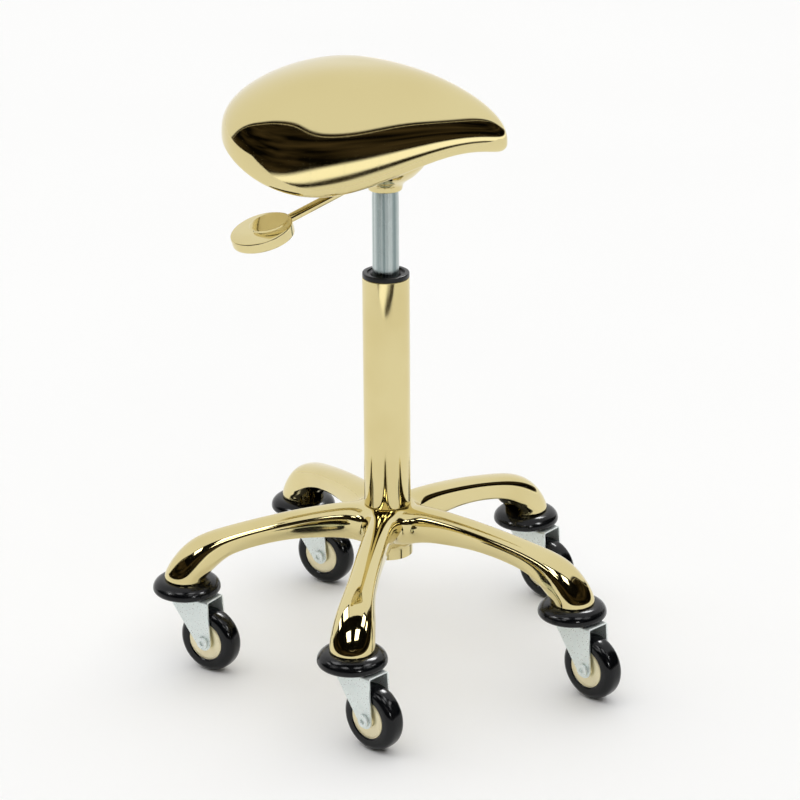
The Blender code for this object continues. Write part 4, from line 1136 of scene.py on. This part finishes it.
def bolt_tree():
    """A bolt along +Z: threaded shank, round head and a hexagon socket, from its sizes."""
    made = Nodes("socket_bolt", [
        ("Shank Radius", "Float", 0.004), ("Shank Low", "Float", -0.01), ("Shank High", "Float", 0.01),
        ("Head Radius", "Float", 0.007), ("Head Height", "Float", 0.003),
        ("Socket Radius", "Float", 0.003), ("Socket Depth", "Float", 0.002),
        ("Thread Length", "Float", 0.005)])
    size = made.source
    length = made.math("SUBTRACT", size["Shank High"], size["Shank Low"])
    middle = made.math("MULTIPLY", made.math("ADD", size["Shank High"], size["Shank Low"]), 0.5)
    core = made.math("SUBTRACT", size["Shank Radius"], THREAD_DEPTH)
    shank = made.add("GeometryNodeMeshCylinder", {"Vertices": 40, "Radius": core, "Depth": length})[0]
    shank = made.raised(shank, middle)
    head = made.add("GeometryNodeMeshCylinder", {
        "Vertices": 72, "Side Segments": 1, "Radius": size["Head Radius"],
        "Depth": size["Head Height"]})[0]
    head_middle = made.math("ADD", size["Shank High"], made.math("MULTIPLY", size["Head Height"], 0.5))
    head = made.raised(head, head_middle)
    socket = made.add("GeometryNodeMeshCylinder", {
        "Vertices": 6, "Radius": size["Socket Radius"],
        "Depth": made.math("MULTIPLY", size["Socket Depth"], 2)})[0]
    socket_top = made.math("ADD", size["Shank High"], size["Head Height"])
    socket = made.raised(socket, socket_top)
    solid = made.add("GeometryNodeMeshBoolean", {"Mesh 1": head, "Mesh 2": socket},
                     operation='DIFFERENCE')[0]
    turns = made.math("DIVIDE", size["Thread Length"], THREAD_PITCH)
    helix = made.add("GeometryNodeCurveSpiral", {
        "Resolution": 24, "Rotations": turns, "Start Radius": core, "End Radius": core,
        "Height": size["Thread Length"]})[0]
    ridge = made.add("GeometryNodeCurvePrimitiveCircle", {"Resolution": 4, "Radius": THREAD_DEPTH})
    thread = made.add("GeometryNodeCurveToMesh", {
        "Curve": helix, "Profile Curve": ridge["Curve"], "Fill Caps": True})[0]
    thread = made.raised(thread, made.math("ADD", size["Shank Low"], THREAD_LEAD))
    made.close(made.joined(shank, solid, thread), ZINC_SHEET)
    return made


def ball_tree():
    """A ring of balls about +Z."""
    made = Nodes("ball_ring", [("Ring Radius", "Float", 0.01), ("Ball Radius", "Float", 0.002),
                               ("Count", "Int", 12)])
    size = made.source
    ring = made.add("GeometryNodeCurvePrimitiveCircle", {"Resolution": size["Count"],
                                                         "Radius": size["Ring Radius"]})["Curve"]
    ball = made.add("GeometryNodeMeshUVSphere", {"Segments": 24, "Rings": 16,
                                                 "Radius": size["Ball Radius"]})[0]
    spread = made.add("GeometryNodeInstanceOnPoints", {"Points": ring, "Instance": ball})[0]
    made.close(spread, STEEL)
    return made


def grown(name, nodes, values, look, matrix):
    """Evaluates a tree with its values as a plain mesh in its place."""
    seed = bpy.data.objects.new(name + "_seed", bpy.data.meshes.new(name + "_seed"))
    bpy.context.scene.collection.objects.link(seed)
    step = seed.modifiers.new("nodes", 'NODES')
    step.node_group = nodes.tree
    for label, value in values.items():
        step[nodes.keys[label]] = value
    graph = bpy.context.evaluated_depsgraph_get()
    graph.update()
    mesh = bpy.data.meshes.new_from_object(seed.evaluated_get(graph))
    bpy.data.objects.remove(seed, do_unlink=True)
    mesh.name = name
    mesh.transform(matrix)
    return link(name, mesh, look)


BOLT = bolt_tree()
BALLS = ball_tree()


def build_axle_bolt(k):
    axle, axis, across = wheel_axle(k)
    _, head_r, low, high = span("axle_bolt_%d" % k, axle, axis)
    head = high - AXLE_HEAD
    bolt = grown("axle_bolt_turned_%d" % k, BOLT, {
        "Shank Radius": 0.0040, "Shank Low": low, "Shank High": head, "Head Radius": head_r,
        "Head Height": high - head, "Socket Radius": 0.0031, "Socket Depth": SOCKET_DEPTH,
        "Thread Length": 0.0048}, ZINC_SHEET, across)
    bevel(bolt, 0.0006, 3, radians(60))
    settle(applied(bolt), "caster_%d" % k, "bright_zinc", "axle_bolt_%d" % k)


def build_seat_bolts():
    for k in range(1, 5):
        name = "seat_bolt_%d" % k
        lo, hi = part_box(name)
        centre = Vector(((lo.x + hi.x) / 2, (lo.y + hi.y) / 2, 0))
        head_r = (hi.x - lo.x) / 2
        flip = Matrix.Rotation(pi, 4, 'X')
        bolt = grown("seat_bolt_turned_%d" % k, BOLT, {
            "Shank Radius": 0.003, "Shank Low": -hi.z, "Shank High": -lo.z - SEAT_BOLT_HEAD,
            "Head Radius": head_r, "Head Height": SEAT_BOLT_HEAD,
            "Socket Radius": 0.0023, "Socket Depth": SOCKET_DEPTH,
            "Thread Length": 0.0078}, ZINC_SHEET, Matrix.Translation(centre) @ flip)
        settle(bolt, "lift", "bright_zinc", name)


def build_bearing():
    inner, outer, low, high = span("bearing_ball_cage", COLUMN)
    middle = (inner + outer) / 2
    height = high - low
    inset = height * 0.3
    cage = spun("bearing_cage_ring", filleted([
        (inner, low + inset, 0), (outer, low + inset, 0.0002), (outer, high - inset, 0.0002),
        (inner, high - inset, 0)]), STEEL, 96, at_column())
    settle(cage, "base", "bare_steel", "bearing_ball_cage")
    balls = grown("bearing_balls", BALLS, {
        "Ring Radius": middle, "Ball Radius": height / 2, "Count": BALLS_IN_RING},
                  STEEL, at_column((low + high) / 2))
    settle(balls, "base", "bare_steel")


# ================================================================ CAD nodes
def paint_frame():
    """Gives every CAD node the finish of its material slot."""
    looks = {"bare_steel": STEEL, "bright_zinc": ZINC_SHEET, "black_plastic": BUSH_BLACK,
             "buffer_rubber": RUBBER, "pan_board": BOARD, "gold_steel": STEEL_GOLD,
             "gold_casting": CAST_GOLD, "gold_disc": DISC_GOLD, "gold_shell": SHELL_GOLD,
             "zinc_tube": ZINC_TUBE, "black_hood": HOOD_BLACK, "black_tyre": TYRE_BLACK}
    slots = {part["node"]: part["material_slot"] for part in frame["record"]["subparts"]}
    for name, piece in frame["nodes"].items():
        piece.data.materials.clear()
        piece.data.materials.append(looks[slots[name]])


# ================================================================ room
def build_floor():
    bm = bmesh.new()
    corners = [(-FLOOR_SIDE, FLOOR_FRONT), (FLOOR_SIDE, FLOOR_FRONT), (FLOOR_SIDE, FLOOR_BACK),
               (-FLOOR_SIDE, FLOOR_BACK)]
    bm.faces.new([bm.verts.new((x, y, -0.0002)) for x, y in corners])
    made = Finish("studio_floor", (0.93, 0.93, 0.92), 0.75)
    cloud = made.use(RIPPLE, Wave_Scale=2.0, Pore_Scale=300.0)
    made.mix_colour(cloud["Wave"], (0.93, 0.93, 0.925), (0.95, 0.95, 0.945))
    finish(bm, "studio_floor", made.material)


def edge_curve(tree, share, points):
    """Height of a panel's edge in degrees, from points (heading, height) round the room."""
    made = tree.nodes.new("ShaderNodeFloatCurve")
    line = made.mapping.curves[0]
    shares = [((heading + 180) / 360, (height + 90) / 180) for heading, height in points]
    for place, value in shares[1:-1]:
        line.points.new(place, value)
    for at, (place, value) in zip((line.points[0], line.points[-1]), (shares[0], shares[-1])):
        at.location = (place, value)
    made.mapping.update()
    tree.links.new(share, made.inputs["Value"])
    return math_node(tree, "SUBTRACT", math_node(tree, "MULTIPLY", made.outputs["Value"], 180.0), 90.0)


def band(tree, height, low, high, soft):
    """1 between two edges, 0 outside, with soft edges."""
    above = math_node(tree, "SUBTRACT", height, low)
    under = math_node(tree, "SUBTRACT", high, height)
    return math_node(tree, "MULTIPLY", remap(tree, above, -soft, soft), remap(tree, under, -soft, soft))


def build_room():
    """Pale room: white all round, with a dark shooting side whose edges follow curves."""
    world = bpy.data.worlds.new("studio")
    bpy.context.scene.world = world
    world.use_nodes = True
    tree = world.node_tree
    back = tree.nodes["Background"]
    spot = node(tree, "ShaderNodeTexCoord").outputs["Generated"]
    parts = node(tree, "ShaderNodeSeparateXYZ")
    tree.links.new(spot, parts.inputs[0])
    x, y, z = parts.outputs
    heading = math_node(tree, "ARCTAN2", x, math_node(tree, "MULTIPLY", y, -1.0))
    share = math_node(tree, "ADD", math_node(tree, "DIVIDE", heading, 2 * pi), 0.5)
    height = math_node(tree, "MULTIPLY", math_node(tree, "ARCSINE", z), 180 / pi)
    top = edge_curve(tree, share, DARK_TOP)
    low = edge_curve(tree, share, DARK_LOW)
    skirting = edge_curve(tree, share, SKIRTING)
    dark = band(tree, height, low, top, DARK_SOFT)
    stretch = node(tree, "ShaderNodeMapping")
    stretch.inputs["Scale"].default_value = (0.8, 0.8, 5.0)
    tree.links.new(spot, stretch.inputs["Vector"])
    streaks = remap(tree, noise(tree, stretch.outputs["Vector"], 1.6, 2.0), 0.40, 0.80)
    shade = tinted(tree, streaks, (0.003, 0.0025, 0.0015), (0.070, 0.050, 0.026))
    seam = math_node(tree, "SUBTRACT", top, SEAM_DEPTH)
    seam_low = math_node(tree, "SUBTRACT", top, SEAM_DEPTH + SEAM_WIDTH)
    shade = tinted(tree, band(tree, height, seam_low, seam, 0.35), shade, (0.62, 0.58, 0.50))
    glow = band(tree, height, skirting, low, 1.5)
    left = remap(tree, heading, radians(-60), radians(-80))
    pale = tinted(tree, glow, (0.95, 0.95, 0.95), (1.35, 1.35, 1.35))
    pale = tinted(tree, math_node(tree, "MULTIPLY", glow, left), pale, (2.2, 2.2, 2.2))
    under = math_node(tree, "SUBTRACT", skirting, SKIRTING_WIDTH)
    dark = math_node(tree, "MAXIMUM", dark, band(tree, height, under, skirting, 0.6))
    room = tinted(tree, dark, pale, shade)
    path = node(tree, "ShaderNodeLightPath")
    final = tinted(tree, path.outputs["Is Camera Ray"], room, BACKDROP)
    tree.links.new(final, back.inputs["Color"])
    boost = math_node(tree, "MULTIPLY", path.outputs["Is Diffuse Ray"], DIFFUSE_LIFT)
    tree.links.new(math_node(tree, "ADD", boost, 1.0), back.inputs["Strength"])


def build_flag():
    """Black card over the front of the base; only reflections see it, and only from below."""
    bm = bmesh.new()
    bm.faces.new([bm.verts.new((x, y, FLAG_HEIGHT)) for x, y in FLAG_OUTLINE])
    look = bpy.data.materials.new("black_card")
    look.use_nodes = True
    tree = look.node_tree
    tree.nodes.clear()
    felt = node(tree, "ShaderNodeBsdfDiffuse", in_Color=(0.004, 0.0035, 0.003, 1.0))
    clear = node(tree, "ShaderNodeBsdfTransparent")
    side = node(tree, "ShaderNodeMixShader")
    tree.links.new(node(tree, "ShaderNodeNewGeometry").outputs["Backfacing"], side.inputs[0])
    tree.links.new(felt.outputs[0], side.inputs[1])
    tree.links.new(clear.outputs[0], side.inputs[2])
    out = node(tree, "ShaderNodeOutputMaterial")
    tree.links.new(side.outputs[0], out.inputs["Surface"])
    mesh = bpy.data.meshes.new("black_card")
    bm.to_mesh(mesh)
    bm.free()
    card = link("black_card", mesh, look)
    for ray in ("camera", "diffuse", "shadow", "transmission", "volume_scatter"):
        setattr(card, "visible_" + ray, False)


def softbox(name, place, aim, size, power):
    """A rectangular lamp that shows only as a highlight."""
    data = bpy.data.lights.new(name, 'AREA')
    data.shape = 'RECTANGLE'
    data.size, data.size_y = size
    data.energy = power
    lamp = bpy.data.objects.new(name, data)
    bpy.context.scene.collection.objects.link(lamp)
    lamp.location = place
    lamp.rotation_euler = (place - aim).to_track_quat('Z', 'Y').to_euler()
    lamp.visible_camera = False
    lamp.visible_diffuse = False
    return lamp


def build_lights():
    """Pairs of small boxes over the front feet, and lamps that only the black pieces answer to."""
    for k in (1, 2, 5):
        toe = Vector((SPOTS[k].x - 0.008, SPOTS[k].y - 0.012, TOE_HEIGHT))
        for side, label in ((-1, "left"), (1, "right")):
            place = toe + Vector((side * TOE_LAMP_APART, -TOE_LAMP_FORWARD, TOE_LAMP_ABOVE))
            softbox("softbox_%s_%d" % (label, k), place, place + Vector((0, 0.05, -1.0)),
                    TOE_LAMP_SIZE, TOE_LAMP_POWER)
    gloss = bpy.data.collections.new("black_gloss")
    for piece in bpy.context.scene.objects:
        if piece.name.startswith(("tyre_tread", "caster_hood", "column_bushing_m")):
            gloss.objects.link(piece)
    middle = COLUMN + UP * 0.08
    for label, heading, rise, size in GLOSS_LAMPS:
        turn = radians(heading)
        lift = radians(rise)
        away = Vector((sin(turn) * cos(lift), -cos(turn) * cos(lift), sin(lift)))
        lamp = softbox("gloss_lamp_" + label, middle + away * GLOSS_RANGE, middle, size,
                       GLOSS_POWER * size[0] * size[1])
        lamp.light_linking.receiver_collection = gloss


def build_camera():
    data = bpy.data.cameras.new("camera")
    data.lens = LENS
    data.sensor_width = 36.0
    camera = bpy.data.objects.new("camera", data)
    bpy.context.scene.collection.objects.link(camera)
    back = Vector((0, -cos(CAMERA_RISE), sin(CAMERA_RISE)))
    level = Vector((1, 0, 0))
    up = level.cross(-back)
    right = cos(CAMERA_ROLL) * level + sin(CAMERA_ROLL) * up
    top = cos(CAMERA_ROLL) * up - sin(CAMERA_ROLL) * level
    turn = Matrix((right, top, back)).transposed().to_4x4()
    camera.matrix_world = Matrix.Translation(COLUMN + CAMERA_AIM + back * CAMERA_RANGE) @ turn
    bpy.context.scene.camera = camera
    bpy.context.scene.view_settings.view_transform = 'Standard'


# ================================================================ the stool
paint_frame()
build_casting()
build_column()
build_cylinder()
build_housing()
build_lever()
build_seat()
build_seat_bolts()
build_bearing()
for number in CASTERS:
    spot_place, trail_length, axle_point = caster_place(number)
    build_hood(number, spot_place)
    build_fork(number, spot_place, trail_length, axle_point.z)
    build_wheel(number)
    build_axle_bolt(number)
build_floor()
build_room()
build_flag()
build_lights()
build_camera()
